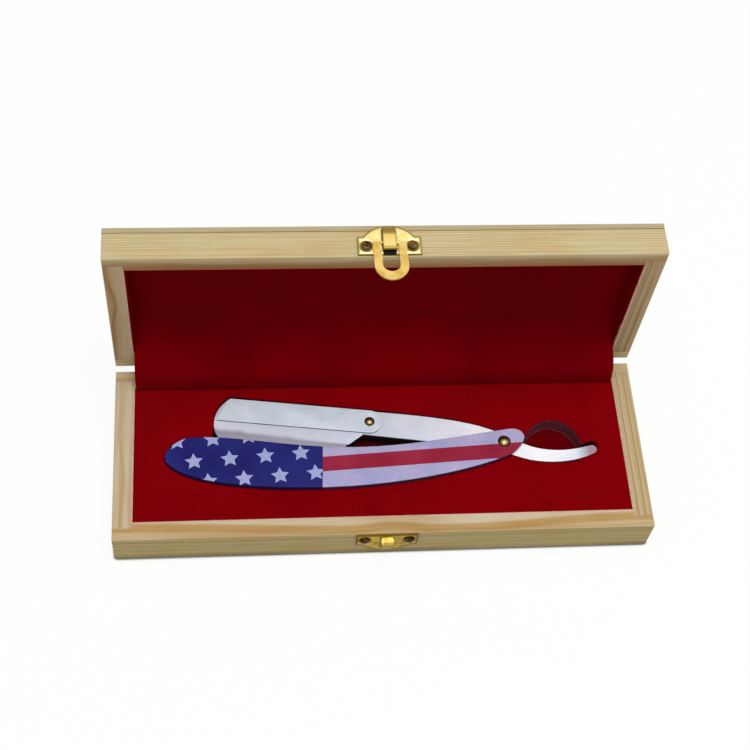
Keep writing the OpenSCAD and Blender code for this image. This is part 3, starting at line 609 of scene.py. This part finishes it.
def make_wood():
    """Every board has its own pith, so that its faces, edges and ends show the same rings."""
    dark, tan = "#B88C60", "#CDB088"
    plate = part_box("hasp_plate")[0].y / MM
    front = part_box("base_front_wall")[0].y / MM
    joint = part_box("lid_front_wall")[1].y / MM
    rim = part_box("base_front_wall")[1].z / MM - 0.1
    # Where the warm band on the front rim bulges, by the left end, the middle and the right end
    swell = ((-105.0, 110.0, 3.3), (2.0, 18.0, 1.6), (96.0, 66.0, 3.0))
    # Each board's wood by name, grain, pith, ring spacing, sway, phase, two colours and warmth,
    # then the lines that are drawn on it and its patch of painted shade under a fitting
    boards = {
        "base_front_wall": (
            "base_front", "X", (-33.0, -46.0), 3.4, 0.9, 0.35, "#DFCEB2", "#D0B48C", 0.25,
            [("Y", front - 2.0, 5.8, 0.55, "#EBD6A2", 0.0, 0.76, swell, rim),
             ("Y", front + 1.7, 2.3, 0.9, "#ECDCB8", 0.0, 0.55, swell, rim),
             ("Y", front + 0.6, 1.4, 0.35, "#E8D7B4", 0.0, 0.5, ((-105.0, 110.0, -3.3),), rim),
             # This line and the next tint the front face darker and more olive than the rim: painted shade
             ("Z", 8.5, 8.4, 0.8, "#E8DAAE", 0.0, 0.97, (), 0.0),
             ("Y", front, 0.4, 1.0, "#F1FAF0", 0.0), ("Z", 13.9, 0.45, 0.45, "#A89468", 0.1),
             # The last line darkens the bottom 3 mm of the front face: painted shade where the box stands on the
             # floor
             ("Z", 8.6, 0.6, 0.2, tan, 0.3), ("Z", 0.0, 3.0, 0.6, "#8C8064", 0.0)],
            (2.2, "Z", 5.6, 14.4),
        ),
        "base_back_wall": (
            "base_back", "X", (60.0, -30.0), 2.6, 0.8, 0.1, "#D3C298", "#BC9F6C", 0.3,
        ),
        "base_left_wall": (
            "base_left", "Y", (-96.0, -40.0), 3.6, 1.3, 0.2, "#D6C6A6", "#CAAE8A", 0.3,
            [("X", -103.4, 1.2, 0.3, tan, 2.4)],
        ),
        "base_right_wall": (
            "base_right", "Y", (160.0, 6.0), 2.7, 0.4, 0.0, "#D3C096", "#BFA270", 0.2,
            [("X", 100.6, 0.5, 0.6, dark, 0.15), ("X", 103.4, 0.7, 0.5, dark, 0.2)],
        ),
        "base_bottom_panel": (
            "bottom_panel", "X", (8.0, -26.0), 4.2, 0.5, 0.6, "#BBAA7E", "#97804F", 0.2,
        ),
        "lid_front_wall": (
            "lid_front", "X", (200.0, 60.0), 1.1, 0.3, 0.2, "#DBCEA2", "#C6AE7C", 0.3,
            # The first line, warm brown by the velvet, is painted shade with a painted red cast from the velvet
            [("Z", 85.6, 9.4, 0.88, "#B67A4C", 0.0), ("Y", joint, 0.55, 1.0, "#80583C", 0.0),
             ("Y", 50.2, 0.3, 0.3, "#D8B47C", 0.1), ("Y", 48.6, 0.25, 0.3, "#D0AC74", 0.2),
             ("Y", 46.1, 0.3, 0.25, "#DCB884", 0.2), ("Y", 43.0, 0.25, 0.35, "#D0AC74", 0.15),
             ("Y", 40.6, 0.3, 0.4, "#D8B078", 0.1)],
            (2.45, "Y", plate, plate + 11.0),
        ),
        "lid_back_wall": (
            "lid_back", "X", (20.0, -30.0), 2.9, 0.8, 0.7, "#D3C298", "#BC9F6C", 0.3,
        ),
        "lid_left_wall": (
            "lid_left", "Z", (-118.0, 30.0), 4.0, 1.2, 0.45, "#C9B48E", "#B69668", 0.4,
            [("X", -105.4, 1.3, 0.5, dark, 0.3, 0.1, ((64.0, 20.0, 2.3),), 0.0)],
        ),
        "lid_right_wall": (
            "lid_right", "Z", (150.0, 46.0), 2.9, 0.3, 0.3, "#C3AC82", "#A0825A", 0.2,
            [("X", 101.0, 0.5, 0.6, dark, 0.2)],
        ),
        "lid_top_panel": (
            "top_panel", "X", (80.0, 50.0), 4.4, 0.45, 0.5, "#C6B996", "#AE986A", 0.2,
        ),
    }
    arris = broken_edge()
    for node, wood in boards.items():
        board_piece(node, pine(*wood), arris)


# Metal

# The die of the two plates, in mm from the straight edge up: the border's width there, the
# shoulders, the top of the round back and its radius; to each side, the plate's half width; and
# from the outline in, the slope of the border
PLATE_EDGE = 0.3
SHOULDER = 8.2
DOME_TOP = 13.2
DOME_RADIUS = 11.909
PLATE_HALF = 12.0
PLATE_SLOPE = (0.3, 0.95)
# The part bent out of the plate: its half width, how far out it begins, the length of its
# painted light and shade, and where the painted shade beside it starts and ends, upward and to the side
BENT_HALF = 2.6
BENT_OUT = 0.95
BENT_LENGTH = 12.0
BRIDGE_SHADE_FROM, BRIDGE_SHADE_TO = 1.4, 11.6
BRIDGE_SHADE_SPAN = (0.1, 0.6)


def pressed_brass(name, tones, bent_painted_light, rough, axis, rim, sign, level, screws):
    """Brass sheet pressed in a die: its outline slopes down in a border half a millimetre wide,
    which is painted darker as shade, as is the dimple round each screw, and the part bent out of
    it has painted light and shade of its own along its bend, with painted shade on the plate
    beside it. The straight edge lies at the rim on its axis. The bent part's stops are (distance
    from it in mm, colour). Level is the axis, the sign and the start of the height above the
    wood, and screws the place across and along of their middle and the dimple's radius."""
    colour, deep, border = tones
    material, tree, shader, place = new_material(name)
    spot = in_mm(tree, place)
    across = maths(tree, "ABSOLUTE", spot.outputs["X"])
    # Distance from the plate's straight edge, and from its shoulders and round back
    up = maths(tree, "MULTIPLY_ADD", spot.outputs[axis], sign, -sign * rim - PLATE_EDGE)
    from_side = maths(tree, "SUBTRACT", PLATE_HALF, across)
    shoulders = maths(tree, "MINIMUM", from_side, maths(tree, "SUBTRACT", SHOULDER, up))
    from_middle = maths(tree, "SUBTRACT", up, DOME_TOP - DOME_RADIUS)
    dome = maths(tree, "SUBTRACT", DOME_RADIUS, distance(tree, from_middle, across))
    inside = maths(tree, "MINIMUM", maths(tree, "MAXIMUM", shoulders, dome), up)
    from_screw_x = maths(tree, "SUBTRACT", across, screws[0])
    from_screw_up = maths(tree, "SUBTRACT", spot.outputs[axis], screws[1])
    dimple = maths(tree, "SUBTRACT", distance(tree, from_screw_x, from_screw_up), screws[2])
    inside = maths(tree, "MINIMUM", inside, dimple)
    flat = mapped(tree, inside, PLATE_SLOPE, (0.0, 1.0), smooth=True)
    ripple, marks, tone = rolled_sheet(tree, place, colour, deep)
    # Painted shade on the sloping border and round the screw dimples
    tone = blended(tree, flat, hex_colour(border), tone)
    level_axis, level_sign, start = level
    height = maths(
        tree, "MULTIPLY_ADD", spot.outputs[level_axis], level_sign, -level_sign * start
    )
    raised_here = maths(tree, "GREATER_THAN", height, BENT_OUT)
    # Painted light and shade along the bent part, by its distance from the straight edge
    stops = [(at / BENT_LENGTH, code) for at, code in bent_painted_light]
    bent = ramp(tree, maths(tree, "DIVIDE", up, BENT_LENGTH), stops)
    tone = blended(tree, raised_here, tone, bent)
    # Painted shade along both sides of the bent part, on the plate beside it
    side = maths(tree, "ABSOLUTE", maths(tree, "SUBTRACT", across, BENT_HALF))
    bridge_shade = mapped(tree, side, BRIDGE_SHADE_SPAN, (0.75, 0.0))
    bridge_shade = maths(tree, "MULTIPLY", bridge_shade, between(tree, up, BRIDGE_SHADE_FROM, BRIDGE_SHADE_TO))
    tone = blended(tree, bridge_shade, tone, hex_colour("#725A1C"))
    roughness = mapped(tree, marks, (0.0, 1.0), (rough * 0.8, rough * 1.2))
    roughness = maths(tree, "MAXIMUM", roughness, maths(tree, "MULTIPLY", raised_here, 0.5))
    feed(tree, shader, {"Base Color": tone, "Metallic": 1.0, "Roughness": roughness})
    both = maths(tree, "MULTIPLY_ADD", ripple, 0.1, flat)
    bumped(tree, shader, both, 0.3 * MM, 0.7)
    return material


def make_metal():
    lid_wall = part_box("lid_front_wall")
    base_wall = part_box("base_front_wall")
    hasp_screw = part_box("hasp_screws")
    catch_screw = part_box("catch_screws")
    head = (hasp_screw[1].y - hasp_screw[0].y) / 2 / MM
    plate = pressed_brass(
        "pressed_brass_plate", ("#F8EBAC", "#E8D484", "#94793A"),
        [(0.9, "#8C7030"), (2.3, "#A08440"), (3.0, "#E2C67C"), (7.6, "#D6BA70"), (8.8, "#8E7434")],
        0.34, "Y", lid_wall[0].y / MM, 1.0, ("Z", 1.0, lid_wall[1].z / MM),
        (hasp_screw[1].x / MM - head, (hasp_screw[0].y + hasp_screw[1].y) / 2 / MM, head),
    )
    # The catch plate faces forward, so its brass is a darker copy of the hasp's: painted shade
    shaded_brass = pressed_brass(
        "brass_plate_painted_shade", ("#BE9E22", "#987814", "#644A12"),
        [(0.5, "#C0A448"), (4.0, "#AE943E"), (9.0, "#8C7430")],
        0.45, "Z", base_wall[1].z / MM, -1.0, ("Y", -1.0, base_wall[0].y / MM),
        (catch_screw[1].x / MM - head, (catch_screw[0].z + catch_screw[1].z) / 2 / MM, head),
    )
    loop = stamped_brass("stamped_brass_loop", "#EBCB78", "#D6AE58", 0.36)
    hinge = stamped_brass("rolled_brass_hinge", "#D9BE72", "#BFA050", 0.34)
    screw = stamped_brass("dark_plated_screw", "#705634", "#2E2214", 0.42)
    pin = satin_steel("drawn_steel_pin", "#B8B8BC", "#94949A", 0.35, 0)
    satin = satin_steel("satin_stainless", "#E2EDF8", "#D2DEE9", 0.5, ARM_DEGREES, 0.45)
    # Painted highlight on the eased edges of the cover, the tang and the blade holder
    bright = satin_steel("stainless_edge_painted_highlight", "#FFFFFF", "#FBFBFF", 0.4, ARM_DEGREES, 0.25)
    cover_side_shade = satin_steel("stainless_side_painted_shade", "#5A5A66", "#464650", 0.6, 0, 0.3)
    arm = satin_steel(
        "ground_stainless_arm", "#FFFFFF", "#F4F6FC", 0.5, ARM_DEGREES, 0.45,
        # Polish along the arm, with painted shade and reflection towards the tail's tip
        [(-66, "#CFCFD9"), (-20, "#C7CAD5"), (-8, "#D4DCE6"), (30, "#F0F2F8"), (52, "#FFFFFF"),
         (66, "#FFFFFF"), (79, "#ECEEF6"), (82.5, "#BEC2CA"), (85, "#AA8A92")],
    )
    blade = satin_steel("ground_blade_steel", "#C4C8CE", "#A8ACB4", 0.3, ARM_DEGREES + 90)
    eased("hasp_plate", "hasp_plate_stamped", plate, 0.06 * MM, 1)
    make_catch(shaded_brass, stamped_brass("brass_tongue_painted_highlight", "#EBCB74", "#B08E40", 0.46))
    eased("hasp_loop", "hasp_loop_stamped", loop, 0.22 * MM, 3)
    for body in ("base", "lid"):
        eased(f"hinge_{body}_leaves", f"hinge_leaves_on_{body}", hinge, 0.1 * MM)
    eased("pivot_washers", "washers_at_pivot", hinge, 0.08 * MM)
    eased("hinge_pins", "hinge_pin_wires", pin, 0.15 * MM)
    eased("half_blade", "half_blade_ground", blade, 0.02 * MM, 1)
    for node in ("catch_screws", "hinge_base_screws", "hasp_screws", "hinge_lid_screws"):
        eased(node, node + "_turned", screw, 0.07 * MM)
    make_rivet("pivot_rivet")
    make_rivet("cover_pin")
    cover = eased("cover_plate", "cover_plate_satin", satin, 0.22 * MM, 3, bright)
    # The cover's upright sides take a dark steel: painted shade
    cover.data.materials.append(cover_side_shade)
    for polygon in cover.data.polygons:
        if abs(polygon.normal.z) < 0.2:
            polygon.material_index = 2
    make_arm(arm, bright)


def make_rivet(node):
    """A rivet or pin. The hammer has spread the rim of its upper head."""
    low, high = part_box(node)
    centre = (low + high) / 2
    radius = (high.x - low.x) / 2
    finish = shaded_rivet(f"brass_painted_light_{node}_domed", centre, 1.1 * radius)
    piece = eased(node, node + "_domed", finish, 0.1 * MM)
    head_bottom, spread = high.z - 0.92 * MM, 0.12
    for vertex in piece.data.vertices:
        if vertex.co.z > head_bottom:
            out = vertex.co.xy - centre.xy
            vertex.co.xy = centre.xy + out * (1 + spread * (out.length / radius) ** 2)


def make_catch(shaded_brass, highlight_finish):
    """The catch's plate. The upward faces of its tongue take a brighter brass: a painted highlight."""
    piece = copy_of("catch_plate", "catch_plate_stamped", [shaded_brass, highlight_finish])
    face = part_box("base_front_wall")[0].y
    start_edit(piece)
    bevel_edges(piece, is_sharp, width=0.06 * MM, segments=1)
    end_edit()
    # The press spreads the tongue where it bends off the sheet
    sheet, tongue_half, spread = 0.9, 2.3 * MM, 0.16
    for vertex in piece.data.vertices:
        stands_out = (face - vertex.co.y) / MM - sheet
        if stands_out > 0 and abs(vertex.co.x) < tongue_half:
            vertex.co.x *= 1 + spread * min(stands_out, 1.0)
    finish_piece(piece, "catch_plate")
    # Painted highlight: the tongue's faces that look up take the brighter brass
    for polygon in piece.data.polygons:
        if polygon.normal.z > 0.25 and polygon.center.y < face - 1.0 * MM:
            polygon.material_index = 1


def make_arm(steel, bright):
    """The tail is ground round, the tang and the holder keep flatter edges."""
    piece = copy_of("razor_arm", "arm_ground", [steel, bright])
    low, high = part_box("razor_arm")
    pivot = pivot_place()
    turn = math.radians(ARM_DEGREES)
    tailward = Vector((math.cos(turn), -math.sin(turn)))
    # Each part, from where to where in mm from the pivot toward the tail, with the width and the
    # segments of its edges' bevel and the slot of their finish
    tail, tang, holder = (9, 99, 1.35, 6, -1), (-53, 8.5, 0.4, 3, 1), (-999, -53.5, 0.3, 2, 1)
    start_edit(piece)
    for near, far, width, segments, finish in (tail, tang, holder):

        def on_part(edge):
            reach = (middle(edge).xy - pivot).dot(tailward) / MM
            return is_sharp(edge, 50) and on_flat(edge, low, high) and near < reach < far

        bevel_edges(piece, on_part, width * MM, segments, finish)
    end_edit()
    finish_piece(piece, "razor_arm", smooth=40)


def make_handle():
    """Both cheeks and the folded back between them have their outer edges bent round."""
    piece = copy_of("razor_handle", "handle_folded", [printed_handle()])
    low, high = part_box("razor_handle")
    pivot = pivot_place()
    hole = 3 * MM

    def outer(edge):
        beside_hole = (middle(edge).xy - pivot).length < hole
        return is_sharp(edge, 50) and on_flat(edge, low, high) and not beside_hole

    start_edit(piece)
    bevel_edges(piece, outer, width=0.45 * MM, segments=4)
    end_edit()
    finish_piece(piece, "razor_handle", smooth=40)


# Velvet

# The finger notch by the razor's tail, and the floor of the recess
NOTCH = Vector((70.1, 0.2)) * MM
NOTCH_RADIUS = 11.4 * MM
RECESS_Z = 8.4 * MM


def make_insert(cloth, raw, core):
    """The foam insert in its velvet: remeshed fine, its edges rolled soft, its top faintly uneven.
    The recess's sides and floor are painted near black as shade, and the floor of the finger notch
    is lined with darker velvet as painted shade."""
    # A darker copy of the velvet for the notch floor: painted shade
    notch_shade_velvet = velvet("crimson_velvet_notch_painted_shade", "#70000A", "#620009")
    piece = copy_of("base_pad", "velvet_insert", [cloth, raw, core, notch_shade_velvet])
    low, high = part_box("base_pad")
    # How far down the top is uneven, the lip of the recess swells and the velvet reaches
    uneven, lip, velveted = (high.z - depth * MM for depth in (1.2, 2.4, 0.55))
    skin, moved = 0.9 * MM, 0.4 * MM
    apply_new(piece, "REMESH", mode="VOXEL", voxel_size=0.58 * MM)
    apply_new(piece, "SMOOTH", factor=0.5, iterations=3)
    for vertex in piece.data.vertices:
        co = vertex.co
        if co.z > uneven:
            # Hollows and swells 22 mm across and finer ones of 7 mm, a tenth of a mm deep
            cloudy = noise.noise(co * 45) + 0.4 * noise.noise(co * 140)
            co.z += 0.08 * MM * cloudy - 0.06 * MM
    facing = [vertex.normal.copy() for vertex in piece.data.vertices]
    for vertex, out in zip(piece.data.vertices, facing):
        co = vertex.co
        if min(co.x - low.x, high.x - co.x, co.y - low.y, high.y - co.y) < skin:
            # The cloth is pressed against the walls
            for axis in (0, 1):
                if co[axis] - low[axis] < skin:
                    co[axis] -= moved
                elif high[axis] - co[axis] < skin:
                    co[axis] += moved
        elif co.z > lip and abs(out.z) < 0.8:
            # and it swells a little over the edge of the recess, but not round the notch
            if (co.xy - NOTCH).length > NOTCH_RADIUS + 0.8 * MM:
                co.x += moved * out.x
                co.y += moved * out.y
    for face in piece.data.polygons:
        if face.center.z > velveted:
            continue
        from_notch = (face.center.xy - NOTCH).length
        lined = face.center.z < RECESS_Z + 0.3 * MM and from_notch < NOTCH_RADIUS + 1 * MM
        raw_side = NOTCH_RADIUS - 1 * MM < from_notch < NOTCH_RADIUS + 1 * MM
        # Slot 2, for the rest of the recess, is near black: painted shade
        face.material_index = 3 if lined else 1 if raw_side else 2
    select_only(piece)
    bpy.ops.object.shade_smooth()
    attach(piece, "base")
    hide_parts("base_pad")


def make_lid_cushion(cloth):
    """The thin padded board behind the lid's velvet, its front drawn back round the border."""
    low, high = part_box("lid_pad")
    bpy.ops.mesh.primitive_cube_add(size=1, location=(low + high) / 2, scale=high - low)
    piece = bpy.context.object
    piece.name = "lid_cushion"
    bpy.ops.object.transform_apply()
    start_edit(piece, "SELECT")
    bpy.ops.mesh.subdivide(number_cuts=14)
    end_edit()
    drawn_back, within = 1.2 * MM, 3 * MM
    for vertex in piece.data.vertices:
        co = vertex.co
        if co.y < low.y + 0.2 * MM:
            edge = min(co.x - low.x, high.x - co.x, co.z - low.z, high.z - co.z)
            co.y += drawn_back * math.exp(-max(edge, 0.0) / within)
    piece.data.materials.append(cloth)
    bpy.ops.object.shade_smooth_by_angle(angle=math.radians(40))
    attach(piece, "lid")
    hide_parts("lid_pad")


# Heights in mm: the cloth's rows in the tuck behind the insert, the middle and half height of its
# fold, and where its crown on the panel begins and is full
TUCK = (15.5, 13.0, 10.0)
FOLD_Z, FOLD_HALF = 26, 9
FREE_FROM, FREE_TO = 30, 44
# Rows of the cloth on the panel, on each curve, and across a turn-up; and columns of the panel
PANEL_ROWS, CURVE_ROWS, TURNED = 40, 24, 6
COLUMNS = 90


def lining_places():
    """Where the cloth lies, in mm, worked out from the boards round it: the middle of the cloth on
    the panel, its top, its sides, the lid's rim, and the bends of its path down to the insert."""
    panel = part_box("lid_pad")[0].y / MM - 0.5
    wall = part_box("lid_front_wall")
    side = -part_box("lid_left_wall")[1].x / MM
    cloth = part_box("hinge_cloth")
    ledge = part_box("lid_back_wall")[1].z / MM
    back = cloth[0].y / MM + 0.3
    hinge = next(joint for joint in frame["joints"] if joint["name"] == "lid_hinge")
    hinge_y, hinge_z = (v / MM for v in hinge["pos_m"][1:])
    # It leaves the panel at this height, bends over the ledge and dips behind the insert
    rise = hinge_z + 27
    bend = (hinge_y - 1.5, ledge + 0.7)
    curve = [
        [(panel, rise), (panel - 0.5, rise - 10), (hinge_y + 4, ledge + 2.4), bend],
        [bend, (hinge_y - 7, 26.0), (back, 21.5), (back, TUCK[0])],
    ]
    return panel, wall[0].z / MM - 0.7, side - 0.65, wall[0].y / MM + 0.5, curve, cloth[0].z / MM


def cloth_line(panel, panel_top, curve, end):
    """The line that the cloth follows, seen from the side, as points in mm every 3 mm or less."""
    rise, back = curve[0][0][1], curve[1][3][0]
    step = (panel_top - rise) / PANEL_ROWS
    points = [(panel, panel_top - k * step) for k in range(PANEL_ROWS)]
    for corners in curve:
        for k in range(CURVE_ROWS):
            t = k / CURVE_ROWS
            s = 1 - t
            weights = (s**3, 3 * s * s * t, 3 * s * t * t, t**3)
            points.append([sum(w * p[i] for w, p in zip(weights, corners)) for i in (0, 1)])
    points += [(back, z) for z in (*TUCK, end)]
    return [Vector(p) for p in points]


def make_lining(cloth):
    """One sheet of velvet: it covers the lid's panel, turns up its walls, crosses over the hinges
    in a soft fold and is tucked in behind the insert."""
    panel, panel_top, wall_x, rim_y, curve, cloth_end = lining_places()
    line = cloth_line(panel, panel_top, curve, cloth_end)
    gone = [0.0]
    for p, q in zip(line, line[1:]):
        gone.append(gone[-1] + (q - p).length)
    turn_up = panel - rim_y
    turned = [turn_up * k / TURNED for k in range(TURNED + 1)]
    columns = [-wall_x - turn_up + k for k in turned[:-1]]
    columns += [-wall_x + 2 * wall_x * k / COLUMNS for k in range(COLUMNS + 1)]
    columns += [wall_x + k for k in turned[1:]]
    rows = [-turn_up + k for k in turned[:-1]] + gone
    wide, long = len(columns) - 1, len(rows) - 1
    bpy.ops.mesh.primitive_grid_add(x_subdivisions=wide, y_subdivisions=long, size=1)
    piece = bpy.context.object
    piece.name = "velvet_lining"
    cut_away = set()
    for vertex in piece.data.vertices:
        u = columns[round((vertex.co.x + 0.5) * wide)]
        row = round((0.5 - vertex.co.y) * long)
        s = rows[row]
        side = max(abs(u) - wall_x, 0.0)
        top = max(-s, 0.0)
        x = max(min(u, wall_x), -wall_x)
        y, z = line[max(row - TURNED, 0)]
        if side == 0 and top == 0:
            # The panel is crowned: it stands 0.6 mm prouder in the middle than at its borders
            crown = 1 - math.exp(-min(wall_x - abs(u), s) / 3.5)
            free = max(min((z - FREE_FROM) / (FREE_TO - FREE_FROM), 1.0), 0.0)
            ripple = noise.noise(Vector((x * 0.03, z * 0.05, 2.0)))
            y -= free * crown * (0.6 + 0.35 * ripple)
            # The fold over the hinges is a little uneven along the box
            fold = math.exp(-(((z - FOLD_Z) / FOLD_HALF) ** 2))
            y -= fold * 0.5 * noise.noise(Vector((x * 0.025, 7.0, 0.0)))
            z += fold * 0.5 * noise.noise(Vector((x * 0.02, 3.0, 5.0)))
            x *= 1 + 0.003 * fold
        if side > 0:
            x += math.copysign(0.2, u)
            y -= side
        if top > 0:
            z += 0.25
            y -= top
        vertex.co = Vector((x, y, z)) * MM
        if side > 0 and (top > 0 or y < rim_y - 0.05):
            cut_away.add(vertex.index)
    start_edit(piece)
    bpy.ops.mesh.select_mode(type="VERT")
    shape = bmesh.from_edit_mesh(piece.data)
    for vertex in shape.verts:
        vertex.select_set(vertex.index in cut_away)
    bmesh.update_edit_mesh(piece.data)
    bpy.ops.mesh.delete(type="VERT")
    end_edit()
    apply_new(piece, "SOLIDIFY", thickness=0.45 * MM, offset=0.0)
    start_edit(piece, "SELECT")
    bpy.ops.mesh.normals_make_consistent()
    end_edit()
    piece.data.materials.append(cloth)
    bpy.ops.object.shade_smooth_by_angle(angle=math.radians(50))
    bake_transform(piece)
    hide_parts("hinge_cloth", "lid_side_strips")


# Light, floor and camera


def seen_directly(tree):
    """1 for what the camera sees, also by reflection or through glass, and 0 for the light."""
    path = add(tree, "ShaderNodeLightPath")
    seen = maths(tree, "MAXIMUM", path.outputs["Is Camera Ray"], path.outputs["Is Glossy Ray"])
    return maths(tree, "MAXIMUM", seen, path.outputs["Is Transmission Ray"])


def chosen_shader(tree, factor, a, b):
    inputs = {0: factor, 1: a.outputs[0], 2: b.outputs[0]}
    return add(tree, "ShaderNodeMixShader", inputs)


def make_stage():
    """A white studio with one large overhead softbox, and a pale paper floor."""
    scene = bpy.context.scene
    scene.view_settings.view_transform = "Standard"
    scene.world = bpy.data.worlds.new("studio")
    tree = empty_tree(scene.world)
    ambient = add(tree, "ShaderNodeBackground", {"Color": (1, 1, 1, 1), "Strength": 0.45})
    backdrop = add(tree, "ShaderNodeBackground", {"Color": (1, 1, 1, 1), "Strength": 1.0})
    both = chosen_shader(tree, seen_directly(tree), ambient, backdrop)
    add(tree, "ShaderNodeOutputWorld", {"Surface": both.outputs[0]})

    bpy.ops.mesh.primitive_plane_add(size=6, location=(0, 0, 0))
    floor = bpy.context.object
    floor.name = "floor"
    paper = bpy.data.materials.new("white_paper_floor")
    tree = empty_tree(paper)
    matt = add(tree, "ShaderNodeBsdfDiffuse", {"Color": hex_colour("#E6E6E6")})
    # The line of deep shade right under the box is 1 to 2 mm wide
    close = add(tree, "ShaderNodeAmbientOcclusion", {"Distance": 1.8 * MM}, samples=8)
    shade = mapped(tree, close.outputs["AO"], (0.55, 0.78), (0.05, 1.0))
    bright = maths(tree, "MULTIPLY", shade, 1.04)
    glow = add(tree, "ShaderNodeEmission", {"Strength": bright})
    # The camera sees more glow than paper, so that the floor is nearly white
    shown = chosen_shader(tree, 0.86, matt, glow)
    both = chosen_shader(tree, seen_directly(tree), matt, shown)
    add(tree, "ShaderNodeOutputMaterial", {"Surface": both.outputs[0]})
    floor.data.materials.append(paper)

    lamp = bpy.data.lights.new("overhead_softbox", "AREA")
    lamp.shape = "RECTANGLE"
    lamp.size, lamp.size_y = 0.9, 0.7
    lamp.energy = 8.0
    stand = bpy.data.objects.new("overhead_softbox", lamp)
    scene.collection.objects.link(stand)
    stand.location = (0.1, -0.1, 1.2)
    stand.rotation_euler = (-stand.location).to_track_quat("-Z", "Y").to_euler()


def make_camera():
    """The photograph's viewpoint, solved from the box's corners."""
    yaw, down, roll = (math.radians(d) for d in (10.505, 58.81, 8.004))
    flat = math.cos(down)
    ahead = Vector((math.sin(yaw) * flat, math.cos(yaw) * flat, -math.sin(down)))
    level = Vector((math.cos(yaw), -math.sin(yaw), 0))
    upright = level.cross(ahead)
    right = math.cos(roll) * level + math.sin(roll) * upright
    up = math.cos(roll) * upright - math.sin(roll) * level
    turned = Matrix((right, up, -ahead)).transposed().to_4x4()
    lens = bpy.data.cameras.new("camera")
    lens.lens = 72.756
    lens.sensor_width = 36
    lens.clip_start = 0.01
    camera = bpy.data.objects.new("camera", lens)
    bpy.context.scene.collection.objects.link(camera)
    camera.matrix_world = Matrix.Translation((-0.059537, -0.284653, 0.552283)) @ turned
    bpy.context.scene.camera = camera


make_camera()
make_stage()
crimson = velvet("crimson_velvet_insert", "#8D000A", "#81000A")
# The lid's lining is a darker copy of the insert's velvet: painted shade on the upright panel
lining = velvet("crimson_velvet_lining", "#7E0009", "#720009")
make_wood()
make_metal()
make_handle()
make_insert(crimson, cut_foam(), recess_shade_foam())
make_lid_cushion(lining)
make_lining(lining)
board = frame["nodes"]["base_floor_board"]
board.data.materials.clear()
board.data.materials.append(crimson)
